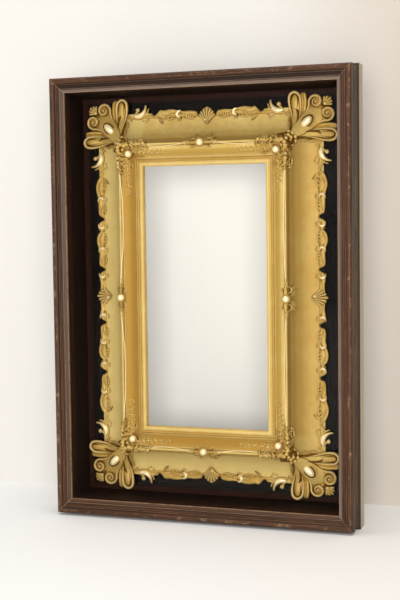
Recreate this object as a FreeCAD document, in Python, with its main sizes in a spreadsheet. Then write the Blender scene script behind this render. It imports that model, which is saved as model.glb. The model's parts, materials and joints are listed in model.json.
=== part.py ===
import FreeCAD, Part
import Sketcher
import math
import os

# Deep shadow box case in walnut, glazed at the front, with a gilt composition frame inside.
# X runs across, Y runs from the front (-Y) to the back (+Y), Z is up, millimetres.
# The origin lies on the surface the case stands on, in the middle of its width and depth.

doc = FreeCAD.newDocument("ShadowBox")
sheet = doc.addObject("Spreadsheet::Sheet", "Sizes")

SIZES = [
    ("overallWidth", 580.0, "outside width over the rear rails"),
    ("overallHeight", 828.0, "outside height over the rear rails"),
    ("caseDepth", 88.0, "front face of the front rails to back edge of the case"),
    ("frontInset", 4.0, "front rails' outer edge inside the rear rails' outer edge"),
    ("frontRailWidth", 27.0, "width of a front rail, outer edge to sight edge"),
    ("frontRailDepth", 20.0, "depth of a front rail"),
    ("torusWidth", 11.5, "width of the rounded outer moulding"),
    ("torusSide", 6.0, "depth where the rounded moulding meets the outer side"),
    ("torusInner", 3.4, "depth where the rounded moulding ends inward"),
    ("stepDepth", 4.8, "depth of the flat step beside the rounded moulding"),
    ("stepWidth", 2.5, "width of that flat step"),
    ("beadWidth", 3.4, "width of the slim bead"),
    ("bevelStart", 6.2, "depth where the inner bevel starts"),
    ("bevelEnd", 9.6, "depth of the sight edge"),
    ("rabbetWidth", 6.0, "width of the glazing rabbet"),
    ("glassFront", 14.0, "depth of the glass seat"),
    ("glassThickness", 2.0, "thickness of the glass"),
    ("glassPlay", 0.5, "clear space at each edge of the glass"),
    ("filletWidth", 5.0, "width of the glazing fillet behind the glass"),
    ("railSawMargin", 2.0, "saw cut's overrun past each mitre"),
    ("caseInset", 10.0, "case sides' outer face inside the rear rails' outer edge"),
    ("caseThickness", 12.0, "thickness of a case side"),
    ("linerFront", 10.0, "thickness of the liner at its front edge"),
    ("linerBack", 15.0, "thickness of the liner at its back edge"),
    ("panelThickness", 5.0, "thickness of the back panel"),
    ("panelPlay", 0.3, "clear space at each edge of the back panel"),
    ("apertureMargin", 14.0, "back panel's aperture outside the picture opening"),
    ("rearRailDepth", 39.0, "depth of a rear rail, front to back"),
    ("rearRailSetback", 4.0, "rear rails' back face in front of the case's back edge"),
    ("rearRailRound", 4.0, "rounding of the rear rails' outer edges"),
    ("moatSide", 34.0, "clear space between the gilt rails and the liner, left and right"),
    ("moatEnd", 32.5, "clear space between the gilt rails and the liner, top and bottom"),
    ("lipHeight", 32.0, "height of the gilt lip above the back panel"),
    ("lipWidth", 5.0, "width of the gilt lip"),
    ("slipWidth", 16.0, "width of the sight slip"),
    ("slipBackHeight", 21.0, "height of the sight slip's back above the back panel"),
    ("slipGroove", 1.6, "depth of the grooves beside the slip's bead"),
    ("slipBeadStart", 8.5, "slip bead's inner edge from the opening"),
    ("slipBeadEnd", 13.5, "slip bead's outer edge from the opening"),
    ("pictureRabbet", 10.5, "width of the picture rabbet behind the slip"),
    ("bandStartHeight", 33.5, "height of the rounded gilt band's inner edge"),
    ("bandEndHeight", 46.0, "height of the rounded gilt band's outer edge"),
    ("bandWidth", 21.0, "width of the rounded gilt band"),
    ("reedHeight", 49.0, "height of the burnished reed's edges"),
    ("reedStart", 38.0, "reed's inner edge from the opening"),
    ("reedEnd", 42.0, "reed's outer edge from the opening"),
    ("coveStart", 44.0, "cove's inner edge from the opening"),
    ("coveTopHeight", 38.0, "height of the cove beside the reed"),
    ("landWidth", 8.0, "width of the flat land outside the cove"),
    ("landHeight", 4.0, "height of the flat land outside the cove"),
    ("giltWidth", 100.0, "width of a gilt rail from the opening to its outer edge"),
    ("laceInset", 7.0, "lace border's inner edge inside the gilt rails' outer edge"),
    ("laceReach", 1.0, "lace border's outer edge outside the gilt rails' outer edge"),
    ("laceDepth", 3.6, "thickness of the lace border"),
    ("laceRunOn", 27.0, "lace border's length past each corner of the opening"),
    ("scallopBulge", 4.0, "reach of a scallop past the border's straight edge"),
    ("scallopLength", 62.0, "length of a scallop"),
    ("scallopPitch", 100.0, "distance from one notch of the lace to the next"),
    ("notchRadius", 4.0, "radius of a notch in the lace"),
    ("cabochonInset", 27.0, "middle of a cabochon inside the gilt rails' outer edges"),
    ("cabochonLong", 12.5, "half length of a cabochon"),
    ("cabochonShort", 8.0, "half width of a cabochon"),
    ("cabochonThick", 4.4, "half thickness of a cabochon"),
    ("leafFaceHeight", 17.0, "height of a cabochon's middle above the back panel"),
    ("leafLong", 34.0, "half length of the corner leaf"),
    ("leafShort", 21.0, "half width of the corner leaf"),
    ("leafThick", 11.0, "half thickness of the corner leaf and its lobes"),
    ("lobeLong", 36.0, "half length of a lobe's stem"),
    ("lobeReach", 17.0, "middle of a lobe's curled end outside the far outer edge"),
    ("lobeInset", 51.0, "middle of a lobe's curled end inside the near outer edge"),
    ("lobeRadius", 10.0, "radius of a lobe's curled end"),
    ("lobeWidth", 11.0, "half width of a lobe"),
    ("voluteInset", 13.0, "volute centre inside the near outer edge"),
    ("voluteReach", 8.0, "volute centre outside the far outer edge"),
    ("voluteRadius", 10.0, "radius of a volute"),
    ("crestRadius", 12.0, "radius of the crest between the volutes"),
    ("crestReach", 8.0, "middle of the crest outside both outer edges"),
    ("bossOffset", 23.0, "corner boss from the opening's edges"),
    ("bossRadius", 6.8, "radius of a round boss"),
    ("bossRing", 8.2, "radius of the ring under a boss"),
    ("bossDome", 4.5, "height of a boss's dome above its ring"),
    ("bossStem", 14.0, "length of a boss's stem below its dome"),
    ("bossCornerHeight", 49.5, "height of a corner boss's top"),
    ("bossMidOffset", 40.5, "middle boss from the opening's edge"),
    ("bossMidHeight", 58.0, "height of a middle boss's top"),
    ("shellInset", 17.0, "middle shell's seat inside the gilt rails' outer edge"),
    ("shellRadius", 12.0, "half width of a middle shell"),
    ("shellLong", 14.0, "half length of a middle shell"),
    ("shellThick", 7.0, "half thickness of a middle shell"),
    ("sprayLong", 30.0, "half length of a flower spray's stem"),
    ("sprayShort", 8.0, "half width of a flower spray's stem"),
    ("sprayThick", 7.0, "half thickness of a flower spray"),
    ("sprayOffset", 28.0, "spray stem's line from the opening's edge"),
    ("sprayStart", 16.0, "spray stem's end near the corner, past the opening's corner"),
    ("sprayHeight", 40.0, "height of a spray stem's middle"),
    ("roseRadius", 12.0, "radius of the rose at the heart of a spray"),
    ("roseOffset", 41.0, "rose's middle from both edges of the opening"),
    ("roseHeight", 45.0, "height of the rose's middle"),
    ("buttonLength", 38.0, "length of a turn button"),
    ("buttonWidth", 11.0, "width of a turn button"),
    ("buttonThickness", 1.6, "thickness of a turn button"),
    ("pivotInset", 6.0, "pivot of a turn button from its end"),
    ("headPlay", 0.1, "play under the head of a turn button's screw"),
    ("buttonPivot", 24.0, "turn button's pivot from the opening's edge"),
    ("buttonGap", 0.3, "gap under a turn button"),
    ("screwRadius", 1.6, "radius of a screw's shank"),
    ("screwHole", 1.65, "radius of the hole a turn button swings on"),
    ("screwHead", 3.4, "radius of a screw's head"),
    ("screwHeadRise", 1.4, "height of a screw's head"),
    ("screwBite", 4.0, "length of a screw in the panel"),
    ("frameScrewOffset", 56.0, "gilt frame's screws from the opening's edge"),
    ("frameScrewAcross", 60.0, "gilt frame's screws from the middle, top and bottom"),
    ("frameScrewUpright", 130.0, "gilt frame's screws from the middle, left and right"),
    ("frameScrewBite", 9.0, "length of a gilt frame's screw in its rail"),
    ("hangerScrewNear", 9.0, "upper hanger screw below the eye"),
    ("hangerScrewFar", 28.0, "lower hanger screw below the eye"),
    ("hangerScrewBite", 9.0, "length of a hanger screw in the case side"),
    ("eyeHalfLength", 4.5, "half length of the hanger's rolled eye"),
    ("hangerDrop", 150.0, "hanger eye below the top of the case"),
    ("plateWidth", 11.0, "width of a hanger plate"),
    ("plateLength", 36.0, "length of a hanger plate"),
    ("plateThickness", 1.4, "thickness of a hanger plate"),
    ("eyeOuter", 2.5, "outer radius of the hanger's rolled eye"),
    ("eyeInner", 1.55, "inner radius of the hanger's rolled eye"),
    ("eyeLift", 3.4, "eye's middle behind the case's back edge"),
    ("ringWire", 1.5, "radius of the hanger ring's wire"),
    ("ringHalfWidth", 11.0, "half width of the hanger ring"),
    ("ringDrop", 15.0, "height of the hanger ring below its bar"),
]

for row, (alias, value, note) in enumerate(SIZES, start=1):
    sheet.set("A%d" % row, note)
    sheet.set("B%d" % row, str(value))
    sheet.setAlias("B%d" % row, alias)
doc.recompute()


class Size:
    """A value in millimetres together with the sheet expression that gives it."""

    def __init__(self, value, text):
        self.value = float(value)
        self.text = text

    def __add__(self, other):
        other = as_size(other)
        return Size(self.value + other.value, "(%s + %s)" % (self.text, other.text))

    def __sub__(self, other):
        other = as_size(other)
        return Size(self.value - other.value, "(%s - %s)" % (self.text, other.text))

    def __mul__(self, other):
        other = as_size(other)
        return Size(self.value * other.value, "(%s * %s)" % (self.text, other.text))

    def __truediv__(self, other):
        other = as_size(other)
        return Size(self.value / other.value, "(%s / %s)" % (self.text, other.text))

    def __neg__(self):
        return Size(-self.value, "(0 - %s)" % self.text)

    def root(self):
        return Size(math.sqrt(self.value), "sqrt(%s)" % self.text)


def as_size(number):
    if isinstance(number, Size):
        return number
    return Size(number, repr(float(number)))


def size(alias):
    return Size(sheet.get(alias), "Sizes.%s" % alias)


def bind(feature, name, amount):
    feature.setExpression(name, as_size(amount).text)


# ---- rectangles that the pieces share ----

frontFace = -(size("caseDepth") + size("eyeLift") + size("eyeOuter")) / 2
backFace = frontFace + size("caseDepth")
middleHeight = size("overallHeight") / 2
overallHalf = (size("overallWidth") / 2, size("overallHeight") / 2)
panelFront = size("caseDepth") - size("panelThickness")
rearRailBack = size("caseDepth") - size("rearRailSetback")
rearRailFront = rearRailBack - size("rearRailDepth")


def grown(half, amount):
    return (half[0] + amount, half[1] + amount)


frontHalf = grown(overallHalf, -size("frontInset"))
caseHalf = grown(overallHalf, -size("caseInset"))
sightHalf = grown(frontHalf, -size("frontRailWidth"))
rabbetHalf = grown(sightHalf, size("rabbetWidth"))
linerHalf = grown(caseHalf, -size("caseThickness"))
interiorHalf = grown(linerHalf, -size("linerBack"))
giltHalf = (interiorHalf[0] - size("moatSide"), interiorHalf[1] - size("moatEnd"))
openingHalf = grown(giltHalf, -size("giltWidth"))


def rise(alias):
    """Depth of a point of the gilt frame that stands the given height above the back panel."""
    return panelFront - size(alias)


def inside(alias):
    """Offset from the opening of a point inside the gilt rails' outer edge."""
    return size("giltWidth") - size(alias)


def outside(alias):
    """Offset from the opening of a point outside the gilt rails' outer edge."""
    return size("giltWidth") + size(alias)


SIDES = {"top": 0.0, "right": 90.0, "bottom": 180.0, "left": -90.0}
exported = []


# ---- helpers ----

def origin_plane(body, role):
    for item in body.Origin.OriginFeatures:
        if item.Role == role:
            return item
    raise RuntimeError("no plane " + role)


def new_body(label):
    body = doc.addObject("PartDesign::Body", label)
    body.Label = label
    return body


def outline(body, role, name, corners):
    """Closed outline on an origin plane. A corner is (x, y) or (x, y, bulge), where bulge is the
    rise of the arc that arrives at that corner as a share of its chord, positive to the left."""
    sketch = body.newObject("Sketcher::SketchObject", name)
    sketch.AttachmentSupport = (origin_plane(body, role), [""])
    sketch.MapMode = "FlatFace"
    loops = corners if isinstance(corners[0], list) else [corners]
    for loop in loops:
        add_loop(sketch, loop)
    return sketch


def add_loop(sketch, loop):
    first = sketch.GeometryCount
    count = len(loop)
    points = [FreeCAD.Vector(as_size(c[0]).value, as_size(c[1]).value, 0) for c in loop]
    for index in range(count):
        start = points[index]
        end = points[(index + 1) % count]
        target = loop[(index + 1) % count]
        if len(target) == 3:
            along = end - start
            left = FreeCAD.Vector(-along.y, along.x, 0)
            middle = (start + end) * 0.5 + left * target[2]
            sketch.addGeometry(Part.Arc(start, middle, end), False)
        else:
            sketch.addGeometry(Part.LineSegment(start, end), False)
    for index in range(count):
        here = first + index
        follow = first + (index + 1) % count
        # an arc drawn clockwise keeps its ends in counter-clockwise order
        here_end = end_point(loop[(index + 1) % count], False)
        follow_start = end_point(loop[(index + 2) % count], True)
        sketch.addConstraint(Sketcher.Constraint("Coincident", here, here_end, follow, follow_start))
    for index in range(count):
        start = end_point(loop[(index + 1) % count], True)
        pin(sketch, first + index, start, loop[index])
    for index in range(count):
        target = loop[(index + 1) % count]
        if len(target) == 3:
            across = as_size(target[0]) - loop[index][0]
            along = as_size(target[1]) - loop[index][1]
            chord = (across * across + along * along).root()
            share = abs(target[2])
            radius = chord * ((1 + 4 * share * share) / (8 * share))
            number = sketch.addConstraint(
                Sketcher.Constraint("Radius", first + index, radius.value))
            sketch.setExpression("Constraints[%d]" % number, radius.text)


def circles(body, role, name, spots, radius, depth=None):
    """Equal circles at the given points. With a depth, the sketch lies that far behind the front
    of the body's own XZ plane."""
    sketch = body.newObject("Sketcher::SketchObject", name)
    sketch.AttachmentSupport = (origin_plane(body, role), [""])
    sketch.MapMode = "FlatFace"
    if depth is not None:
        lift = FreeCAD.Vector(0, 0, -as_size(depth).value)
        sketch.AttachmentOffset = FreeCAD.Placement(lift, FreeCAD.Rotation())
        bind(sketch, "AttachmentOffset.Base.z", -as_size(depth))
    for x, y in spots:
        centre = FreeCAD.Vector(as_size(x).value, as_size(y).value, 0)
        index = sketch.addGeometry(Part.Circle(centre, FreeCAD.Vector(0, 0, 1), radius.value), False)
        pin(sketch, index, 3, (x, y))
        number = sketch.addConstraint(Sketcher.Constraint("Radius", index, radius.value))
        sketch.setExpression("Constraints[%d]" % number, radius.text)
    return sketch


def pin(sketch, edge, point, spot):
    """Fix a sketch point to its two coordinates, or to an axis where a coordinate is zero."""
    for kind, axis, coordinate in (("DistanceX", -2, spot[0]), ("DistanceY", -1, spot[1])):
        amount = as_size(coordinate)
        if abs(amount.value) < 1e-9:
            sketch.addConstraint(Sketcher.Constraint("PointOnObject", edge, point, axis))
            continue
        number = sketch.addConstraint(
            Sketcher.Constraint(kind, -1, 1, edge, point, amount.value))
        sketch.setExpression("Constraints[%d]" % number, amount.text)


def end_point(target, at_start):
    """Sketcher's number for one end of the edge that arrives at target."""
    clockwise = len(target) == 3 and target[2] > 0
    if clockwise:
        return 2 if at_start else 1
    return 1 if at_start else 2


def pad(body, sketch, name, length, symmetric=False, backward=False):
    feature = body.newObject("PartDesign::Pad", name)
    feature.Profile = sketch
    feature.SideType = "Symmetric" if symmetric else "One side"
    feature.Reversed = backward
    bind(feature, "Length", length)
    sketch.Visibility = False
    return feature


def pocket_through(body, sketch, name):
    feature = body.newObject("PartDesign::Pocket", name)
    feature.Profile = sketch
    feature.Type = "ThroughAll"
    feature.SideType = "Symmetric"
    sketch.Visibility = False
    return feature


def bore(body, name, spots, radius, depth, length):
    """Blind round holes from the given depth towards the front."""
    sketch = circles(body, "XZ_Plane", name + "_centres", spots, radius, depth)
    feature = body.newObject("PartDesign::Pocket", name)
    feature.Profile = sketch
    feature.SideType = "One side"
    feature.Reversed = True
    bind(feature, "Length", length)
    sketch.Visibility = False
    return feature


def place(piece, x, y, z, axis=(0, 1, 0), angle=0.0):
    turn = FreeCAD.Rotation(FreeCAD.Vector(*axis), angle)
    base = FreeCAD.Vector(as_size(x).value, as_size(y).value, as_size(z).value)
    piece.Placement = FreeCAD.Placement(base, turn)
    bind(piece, "Placement.Base.x", x)
    bind(piece, "Placement.Base.y", y)
    bind(piece, "Placement.Base.z", z)


def rail(family, side, half, corners, mitre):
    """One rail of a rectangle: its section runs along X, with -Z towards the middle, and its
    ends are mitred over the given width. half is the outer half width and half height."""
    label = "%s_%s" % (family, side)
    body = new_body(label)
    upright = side in ("left", "right")
    half_length = half[1] if upright else half[0]
    reach = half[0] if upright else half[1]
    section = outline(body, "YZ_Plane", label + "_section", corners)
    pad(body, section, label + "_length", half_length * 2, symmetric=True)
    if mitre is not None:
        over = size("railSawMargin")
        cuts = []
        for sign in (1, -1):
            tip = half_length * sign
            shoulder = tip - (mitre + over) * sign
            far = tip + over * sign
            cuts.append([(far, over), (far, -(mitre + over)), (shoulder, -(mitre + over))])
        saw = outline(body, "XZ_Plane", label + "_mitres", cuts)
        pocket_through(body, saw, label + "_sawn")
    directions = {"top": (0, 1), "right": (1, 0), "bottom": (0, -1), "left": (-1, 0)}
    across, upward = directions[side]
    place(body, reach * across, frontFace, middleHeight + reach * upward, angle=SIDES[side])
    exported.append(body)
    return body


# ---- walnut case ----

# Section corners are (depth from the front, height above the rail's outer edge).
railWidth = size("frontRailWidth")
torusEnd = size("torusWidth")
stepEnd = torusEnd + size("stepWidth")
beadEnd = stepEnd + size("beadWidth")
rabbetStart = railWidth - size("rabbetWidth")
ROUND = 0.397
BEAD = 0.42

frontSection = [
    (size("frontRailDepth"), 0),
    (size("frontRailDepth"), -rabbetStart),
    (size("glassFront"), -rabbetStart),
    (size("glassFront"), -railWidth),
    (size("bevelEnd"), -railWidth),
    (size("bevelStart"), -beadEnd),
    (size("stepDepth"), -beadEnd),
    (size("stepDepth"), -stepEnd, BEAD),
    (size("stepDepth"), -torusEnd),
    (size("torusInner"), -torusEnd),
    (size("torusSide"), 0, ROUND),
]

linerFront = size("frontRailDepth")
caseSection = [
    (linerFront, 0),
    (size("caseDepth"), 0),
    (size("caseDepth"), -size("caseThickness")),
    (linerFront, -size("caseThickness")),
]

linerSection = [
    (linerFront, 0),
    (panelFront, 0),
    (panelFront, -size("linerBack")),
    (linerFront, -size("linerFront")),
]

rearRound = size("rearRailRound")
QUARTER = 0.2071
rearSection = [
    (rearRailFront, -size("caseInset")),
    (rearRailFront, -rearRound),
    (rearRailFront + rearRound, 0, QUARTER),
    (rearRailBack - rearRound, 0),
    (rearRailBack, -rearRound, QUARTER),
    (rearRailBack, -size("caseInset")),
]

glassBack = size("glassFront") + size("glassThickness")
filletSection = [
    (glassBack, 0),
    (size("frontRailDepth"), 0),
    (size("frontRailDepth"), -size("filletWidth")),
    (glassBack, -size("filletWidth")),
]

for side in SIDES:
    rail("front_rail", side, frontHalf, frontSection, railWidth)
for side in SIDES:
    rail("glazing_fillet", side, rabbetHalf, filletSection, size("filletWidth"))
caseSides = {}
for side in SIDES:
    caseSides[side] = rail("case_side", side, caseHalf, caseSection, size("caseThickness"))
for side in SIDES:
    rail("liner", side, linerHalf, linerSection, size("linerBack"))
for side in SIDES:
    rail("rear_rail", side, overallHalf, rearSection, size("caseInset"))


def plate(label, half, thickness, depth, hole=None):
    """A flat rectangular sheet lying across the case, with its front face at the given depth."""
    body = new_body(label)
    loops = [rectangle(half)]
    if hole is not None:
        loops.append(rectangle(hole))
    sketch = outline(body, "XZ_Plane", label + "_outline", loops)
    pad(body, sketch, label + "_sheet", thickness, backward=True)
    place(body, 0, frontFace + depth, middleHeight)
    exported.append(body)
    return body


def rectangle(half):
    return [(-half[0], -half[1]), (half[0], -half[1]), (half[0], half[1]), (-half[0], half[1])]


glassHalf = grown(rabbetHalf, -size("glassPlay"))
plate("glass_pane", glassHalf, size("glassThickness"), size("glassFront"))
panelHalf = grown(linerHalf, -size("panelPlay"))
apertureHalf = grown(openingHalf, size("apertureMargin"))
backPanel = plate("back_panel", panelHalf, size("panelThickness"), panelFront, apertureHalf)

# ---- gilt frame ----

slipHalf = grown(openingHalf, size("slipWidth"))


def out(offset, half_offset):
    """Height of a point at the given offset from the opening, in the section of a rail whose
    outer edge lies at half_offset from the opening."""
    return size(offset) - size(half_offset)


SLIP_BEAD = 0.34
slipFloor = rise("lipHeight") + size("slipGroove")
slipSection = [
    (rise("slipBackHeight"), 0),
    (rise("slipBackHeight"), -size("slipWidth")),
    (rise("lipHeight"), -size("slipWidth")),
    (rise("lipHeight"), out("lipWidth", "slipWidth")),
    (slipFloor, out("lipWidth", "slipWidth")),
    (slipFloor, out("slipBeadStart", "slipWidth")),
    (slipFloor, out("slipBeadEnd", "slipWidth"), SLIP_BEAD),
    (slipFloor, 0),
]

BAND = 0.13
REED = 0.45
COVE = 0.15
bandStop = size("slipWidth") + size("bandWidth")
giltSection = [
    (panelFront, 0),
    (panelFront, out("pictureRabbet", "giltWidth")),
    (rise("slipBackHeight"), out("pictureRabbet", "giltWidth")),
    (rise("slipBackHeight"), out("slipWidth", "giltWidth")),
    (rise("bandStartHeight"), out("slipWidth", "giltWidth")),
    (rise("bandEndHeight"), bandStop - size("giltWidth"), BAND),
    (rise("reedHeight"), out("reedStart", "giltWidth")),
    (rise("reedHeight"), out("reedEnd", "giltWidth"), REED),
    (rise("coveTopHeight"), out("coveStart", "giltWidth")),
    (rise("landHeight"), -size("landWidth"), -COVE),
    (rise("landHeight"), 0),
]

for side in SIDES:
    rail("sight_slip", side, slipHalf, slipSection, size("slipWidth"))
giltRails = {}
for side in SIDES:
    giltRails[side] = rail("gilt_rail", side, giltHalf, giltSection, size("giltWidth"))

# Pierced lace along the outer edge: a strip with scallops and round notches between them.
laceFront = rise("landHeight") - size("laceDepth")
laceWidth = outside("laceReach") - inside("laceInset")


def lace(side):
    label = "lace_border_%s" % side
    upright = side in ("left", "right")
    half_opening = openingHalf[1] if upright else openingHalf[0]
    half_length = half_opening + size("laceRunOn")
    scallops = 2 * int(half_length.value / size("scallopPitch").value) + 1
    body = new_body(label)
    strip = outline(body, "XZ_Plane", label + "_strip", [
        (-half_length, -laceWidth),
        (half_length, -laceWidth),
        (half_length, 0),
        (-half_length, 0),
    ])
    pad(body, strip, label + "_base", size("laceDepth"), backward=True)
    pitch = size("scallopPitch")
    half_scallop = size("scallopLength") / 2
    rise = size("scallopBulge") / size("scallopLength")
    loops = []
    for number in range(scallops):
        middle = pitch * (number - (scallops - 1) / 2)
        loops.append([
            (middle - half_scallop, -laceWidth / 2),
            (middle + half_scallop, -laceWidth / 2),
            (middle + half_scallop, 0),
            (middle - half_scallop, 0, -rise.value),
        ])
    lobes = outline(body, "XZ_Plane", label + "_scallops", loops)
    pad(body, lobes, label + "_lobes", size("laceDepth"), backward=True)
    spots = [(pitch * (number - (scallops - 2) / 2), 0) for number in range(scallops - 1)]
    notches = circles(body, "XZ_Plane", label + "_notches", spots, size("notchRadius"))
    pocket_through(body, notches, label + "_pierced")
    reach = (openingHalf[0] if upright else openingHalf[1]) + outside("laceReach")
    across, upward = {"top": (0, 1), "right": (1, 0), "bottom": (0, -1), "left": (-1, 0)}[side]
    depth = frontFace + laceFront
    place(body, reach * across, depth, middleHeight + reach * upward, angle=SIDES[side])
    exported.append(body)
    return body


laces = {}
for side in SIDES:
    laces[side] = lace(side)


# ---- carved ornament on the gilt frame ----

def ellipsoid(name, x, depth, z, long, short, thick, angle):
    """Flattened lobe lying across the frame, its long axis turned by angle from +X to +Z."""
    piece = doc.addObject("Part::Ellipsoid", name)
    piece.Label = name
    bind(piece, "Radius1", thick)
    bind(piece, "Radius2", long)
    bind(piece, "Radius3", short)
    # Radius1 stands along the piece's own Z, which is laid along the depth
    lay = FreeCAD.Rotation(FreeCAD.Vector(1, 0, 0), 90)
    turn = FreeCAD.Rotation(FreeCAD.Vector(0, 1, 0), -angle)
    base = FreeCAD.Vector(as_size(x).value, as_size(depth).value, as_size(z).value)
    piece.Placement = FreeCAD.Placement(base, turn.multiply(lay))
    bind(piece, "Placement.Base.x", x)
    bind(piece, "Placement.Base.y", depth)
    bind(piece, "Placement.Base.z", z)
    return piece


def cut(name, base, tool):
    piece = doc.addObject("Part::Cut", name)
    piece.Label = name
    piece.Base = base
    piece.Tool = tool
    return piece


def fuse(name, pieces):
    piece = doc.addObject("Part::MultiFuse", name)
    piece.Label = name
    piece.Shapes = pieces
    return piece


def mirrored(name, source, normal):
    """Copy of a piece on the other side of the frame's middle."""
    piece = doc.addObject("Part::Mirroring", name)
    piece.Label = name
    piece.Source = source
    piece.Normal = FreeCAD.Vector(*normal)
    piece.Base = FreeCAD.Vector(0, 0, middleHeight.value)
    bind(piece, "Base.z", middleHeight)
    return piece


def four_corners(label, top_right):
    """The same corner piece at all four corners, by mirroring the top right one."""
    top_right.Label = label + "_tr"
    top_left = mirrored(label + "_tl", top_right, (1, 0, 0))
    bottom_right = mirrored(label + "_br", top_right, (0, 0, 1))
    bottom_left = mirrored(label + "_bl", top_left, (0, 0, 1))
    return [top_left, top_right, bottom_left, bottom_right]


def together(label, pieces):
    """Several like pieces in one node."""
    group = doc.addObject("Part::Compound", label)
    group.Label = label
    group.Links = pieces
    return group


def slab(name, x, depth, z, wide, deep, high):
    piece = doc.addObject("Part::Box", name)
    piece.Label = name
    bind(piece, "Length", wide)
    bind(piece, "Width", deep)
    bind(piece, "Height", high)
    place(piece, x, depth, z)
    return piece


def at_corner(offset_x, offset_z):
    """Point in the top right corner, by its offsets from the opening's right and top edges."""
    return openingHalf[0] + offset_x, middleHeight + openingHalf[1] + offset_z


def disc(label, radius, thickness, x, depth, z):
    """Round piece facing the front, its back face at the given depth."""
    piece = doc.addObject("Part::Cylinder", label)
    piece.Label = label
    bind(piece, "Radius", radius)
    bind(piece, "Height", thickness)
    place(piece, x, frontFace + depth, z, axis=(1, 0, 0), angle=90)
    return piece


seat = rise("landHeight")
lobeThick = size("leafThick")
backing = frontFace + seat
cabX, cabZ = at_corner(inside("cabochonInset"), inside("cabochonInset"))
lobes = [ellipsoid("corner_leaf", cabX, backing, cabZ, size("leafLong"), size("leafShort"),
                   seat - rise("leafFaceHeight"), 45)]
for name, far_x, far_z in (("upper", inside("lobeInset"), outside("lobeReach")),
                           ("outer", outside("lobeReach"), inside("lobeInset"))):
    endX, endZ = at_corner(far_x, far_z)
    midX, midZ = at_corner((far_x + inside("cabochonInset")) / 2, (far_z + inside("cabochonInset")) / 2)
    slope = 114.0 if name == "upper" else -24.0
    lobes.append(ellipsoid("lobe_" + name, midX, backing, midZ, size("lobeLong"),
                           size("lobeWidth"), lobeThick, slope))
    lobes.append(ellipsoid("curl_" + name, endX, backing, endZ, size("lobeRadius"),
                           size("lobeRadius"), lobeThick, 0))
for name, near_x, near_z in (("upper", inside("voluteInset"), outside("voluteReach")),
                             ("outer", outside("voluteReach"), inside("voluteInset"))):
    x, z = at_corner(near_x, near_z)
    lobes.append(disc("volute_" + name, size("voluteRadius"), size("leafThick") * 0.7, x, seat, z))
x, z = at_corner(outside("crestReach"), outside("crestReach"))
lobes.append(ellipsoid("crest", x, backing, z, size("crestRadius"), size("crestRadius"),
                       lobeThick, 45))
spread = fuse("corner_spread", lobes)
span = openingHalf[0] * 2
front_half = slab("corner_front", openingHalf[0], frontFace, middleHeight, span, seat, openingHalf[1] * 3)
kept = doc.addObject("Part::Common", "corner_kept")
kept.Base = spread
kept.Tool = front_half
cabochon = ellipsoid("cabochon", cabX, frontFace + rise("leafFaceHeight"), cabZ,
                     size("cabochonLong"), size("cabochonShort"), size("cabochonThick"), 45)
giltCorner = fuse("gilt_corner", [giltRails["top"], giltRails["right"]])
socketed = cut("corner_socketed", kept, cabochon)
ornament = cut("corner_ornament", socketed, giltCorner)
exported.extend(four_corners("corner_ornament", ornament))
exported.append(together("corner_cabochons", four_corners("corner_cabochon", cabochon)))


def boss(label, x, z, top, bed):
    """Round boss: a ringed stem with a dome, bedded in the rails that it stands on."""
    rim = frontFace + top + size("bossDome")
    stem = disc(label + "_stem", size("bossRing"), size("bossStem"), x,
                top + size("bossDome") + size("bossStem"), z)
    dome = ellipsoid(label + "_dome", x, rim, z, size("bossRadius"), size("bossRadius"),
                     size("bossDome"), 0)
    whole = fuse(label + "_whole", [stem, dome])
    return cut(label + "_bedded", whole, bed)


bossX, bossZ = at_corner(size("bossOffset"), size("bossOffset"))
cornerBoss = boss("corner_boss", bossX, bossZ, rise("bossCornerHeight"), giltCorner)
exported.append(together("corner_bosses", four_corners("corner_boss", cornerBoss)))

sideX = openingHalf[0] + size("bossMidOffset")
sideBoss = boss("side_boss", sideX, middleHeight, rise("bossMidHeight"), giltRails["right"])
sideBoss.Label = "mid_boss_right"
topZ = middleHeight + openingHalf[1] + size("bossMidOffset")
topBoss = boss("top_boss", 0, topZ, rise("bossMidHeight"), giltRails["top"])
topBoss.Label = "mid_boss_top"
exported.append(together("mid_bosses", [
    sideBoss,
    mirrored("mid_boss_left", sideBoss, (1, 0, 0)),
    topBoss,
    mirrored("mid_boss_bottom", topBoss, (0, 0, 1)),
]))

def front_part(name, piece, x, z, half):
    """The part of a piece in front of the land that the ornament stands on."""
    block = slab(name + "_block", x - half, frontFace, z - half, half * 2, seat, half * 2)
    common = doc.addObject("Part::Common", name)
    common.Base = piece
    common.Tool = block
    return common


# Ribbed shells in the middle of each side, bedded on the cove and against the lace.
shellX = openingHalf[0] + inside("shellInset")
shellZ = middleHeight + openingHalf[1] + inside("shellInset")
sideShell = ellipsoid("side_shell", shellX, backing, middleHeight, size("shellLong"),
                      size("shellRadius"), size("shellThick"), 0)
sideShell = front_part("side_shell_front", sideShell, shellX, middleHeight, size("shellLong"))
sideShell = cut("side_shell_on_cove", sideShell, giltRails["right"])
sideShell = cut("mid_shell_right", sideShell, laces["right"])
topShell = ellipsoid("top_shell", 0, backing, shellZ, size("shellRadius"), size("shellLong"),
                     size("shellThick"), 0)
topShell = front_part("top_shell_front", topShell, as_size(0), shellZ, size("shellLong"))
topShell = cut("top_shell_on_cove", topShell, giltRails["top"])
topShell = cut("mid_shell_top", topShell, laces["top"])
exported.append(together("mid_shells", [
    sideShell,
    mirrored("mid_shell_left", sideShell, (1, 0, 0)),
    topShell,
    mirrored("mid_shell_bottom", topShell, (0, 0, 1)),
]))

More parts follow.
